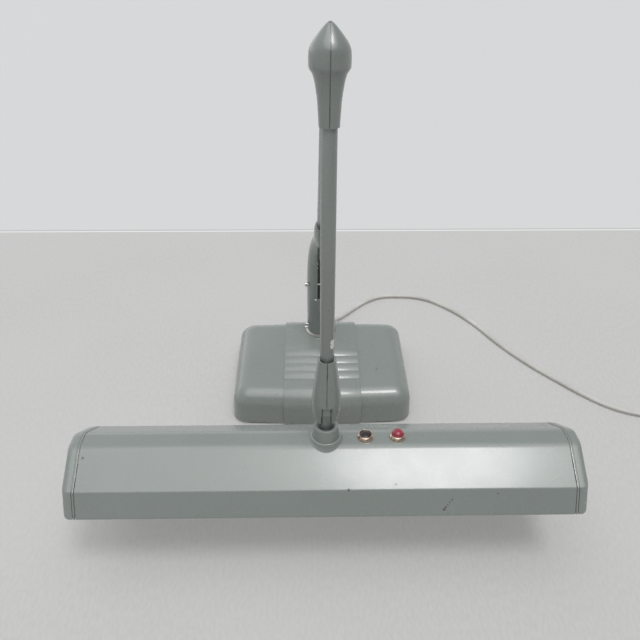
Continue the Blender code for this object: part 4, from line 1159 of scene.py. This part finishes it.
def make_cord():
    points = CORD_ROUTE + coil_points() + TAIL_ROUTE
    curve = bpy.data.curves.new("mains_cord", 'CURVE')
    curve.dimensions = '3D'
    curve.bevel_depth = CORD_RADIUS
    curve.bevel_resolution = 6
    curve.resolution_u = 6
    curve.use_fill_caps = True
    spline = curve.splines.new('BEZIER')
    spline.bezier_points.add(len(points) - 1)
    for point, place in zip(spline.bezier_points, points):
        point.co = place
        point.handle_left_type = 'AUTO'
        point.handle_right_type = 'AUTO'
    cord = bpy.data.objects.new("mains_cord", curve)
    SCENE.collection.objects.link(cord)
    curve.materials.append(FINISHES["cord_vinyl"])
    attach(cord, "base")
    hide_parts("power_cord", "cord_coil", "cord_tail")
    pieces = make_plug()
    pieces.append(make_tie())


# ---------------------------------------------------------------- carried-over CAD nodes
def dress_cad_nodes():
    """Give every CAD node that still shows its slot's finish, and take the edge off the small ones."""
    slots = {part["node"]: part["material_slot"] for part in RECORD["subparts"]}
    for name, node in frame["nodes"].items():
        node.data.materials.clear()
        node.data.materials.append(FINISHES[slots[name]])
        if not node.hide_render and slots[name] in ("steel", "cream_plastic", "iron"):
            soften(node, 0.00025, 2, 40)


# ---------------------------------------------------------------- room and light
def make_floor():
    mesh = bpy.data.meshes.new("floor")
    reach = 9.0
    corners = [(-reach, -reach, 0), (reach, -reach, 0), (reach, reach, 0), (-reach, reach, 0)]
    mesh.from_pydata(corners, [], [(0, 1, 2, 3)])
    floor = bpy.data.objects.new("floor", mesh)
    floor.location = (0, 0, -0.0002)
    floor.data.materials.append(floor_finish())
    SCENE.collection.objects.link(floor)


def make_sun(name, towards, spread, strength, shadows):
    """Soft light that falls evenly over the whole floor, from a disc of the sky."""
    data = bpy.data.lights.new(name, 'SUN')
    data.angle = math.radians(spread)
    data.energy = strength
    data.use_shadow = shadows
    light = bpy.data.objects.new(name, data)
    light.rotation_mode = 'QUATERNION'
    light.rotation_quaternion = Vector(towards).to_track_quat('Z', 'Y')
    SCENE.collection.objects.link(light)


def make_world():
    """Pale walls: light low down behind and on the left, dimmer half way up and in front."""
    w = Shader("studio", world=True)
    background = w.tree.nodes["Background"]
    split = w.add("ShaderNodeSeparateXYZ")
    w.feed(split.inputs[0], w.add("ShaderNodeTexCoord").outputs["Generated"])
    behind = w.ramp(split.outputs[1], -0.5, 0.7, 0.46, 0.98)
    upwards = w.ramp(split.outputs[2], 0.10, 0.50, 1.0, 0.55)
    overhead = w.ramp(split.outputs[2], 0.72, 0.95, 0.0, 0.45)
    strength = w.math('ADD', w.times(behind, upwards), overhead)
    sideways = w.ramp(split.outputs[0], -0.8, 0.8, 1.42, 0.60)
    strength = w.times(strength, sideways)
    w.feed(background.inputs["Color"], (0.97, 0.985, 1.0))
    w.feed(background.inputs["Strength"], strength)
    SCENE.world = w.data


def make_lights():
    """Two soft lights overhead; the stronger one fills the shadow under the shade."""
    make_sun("fill", (0.05, -0.24, 1.0), 66, 1.35, False)
    make_sun("key", (0.19, -0.24, 1.0), 17, 0.85, True)


def main():
    make_camera()
    make_gland()
    make_cord()
    make_base()
    make_turret()
    make_lower_arm()
    make_elbow_cover()
    make_upper_arm()
    make_head()
    make_knuckle()
    make_shell()
    make_end_caps()
    make_neck()
    make_lamp("front")
    make_lamp("rear")
    make_buttons()
    dress_cad_nodes()
    make_floor()
    make_world()
    make_lights()
    SCENE.view_settings.view_transform = 'Standard'


main()
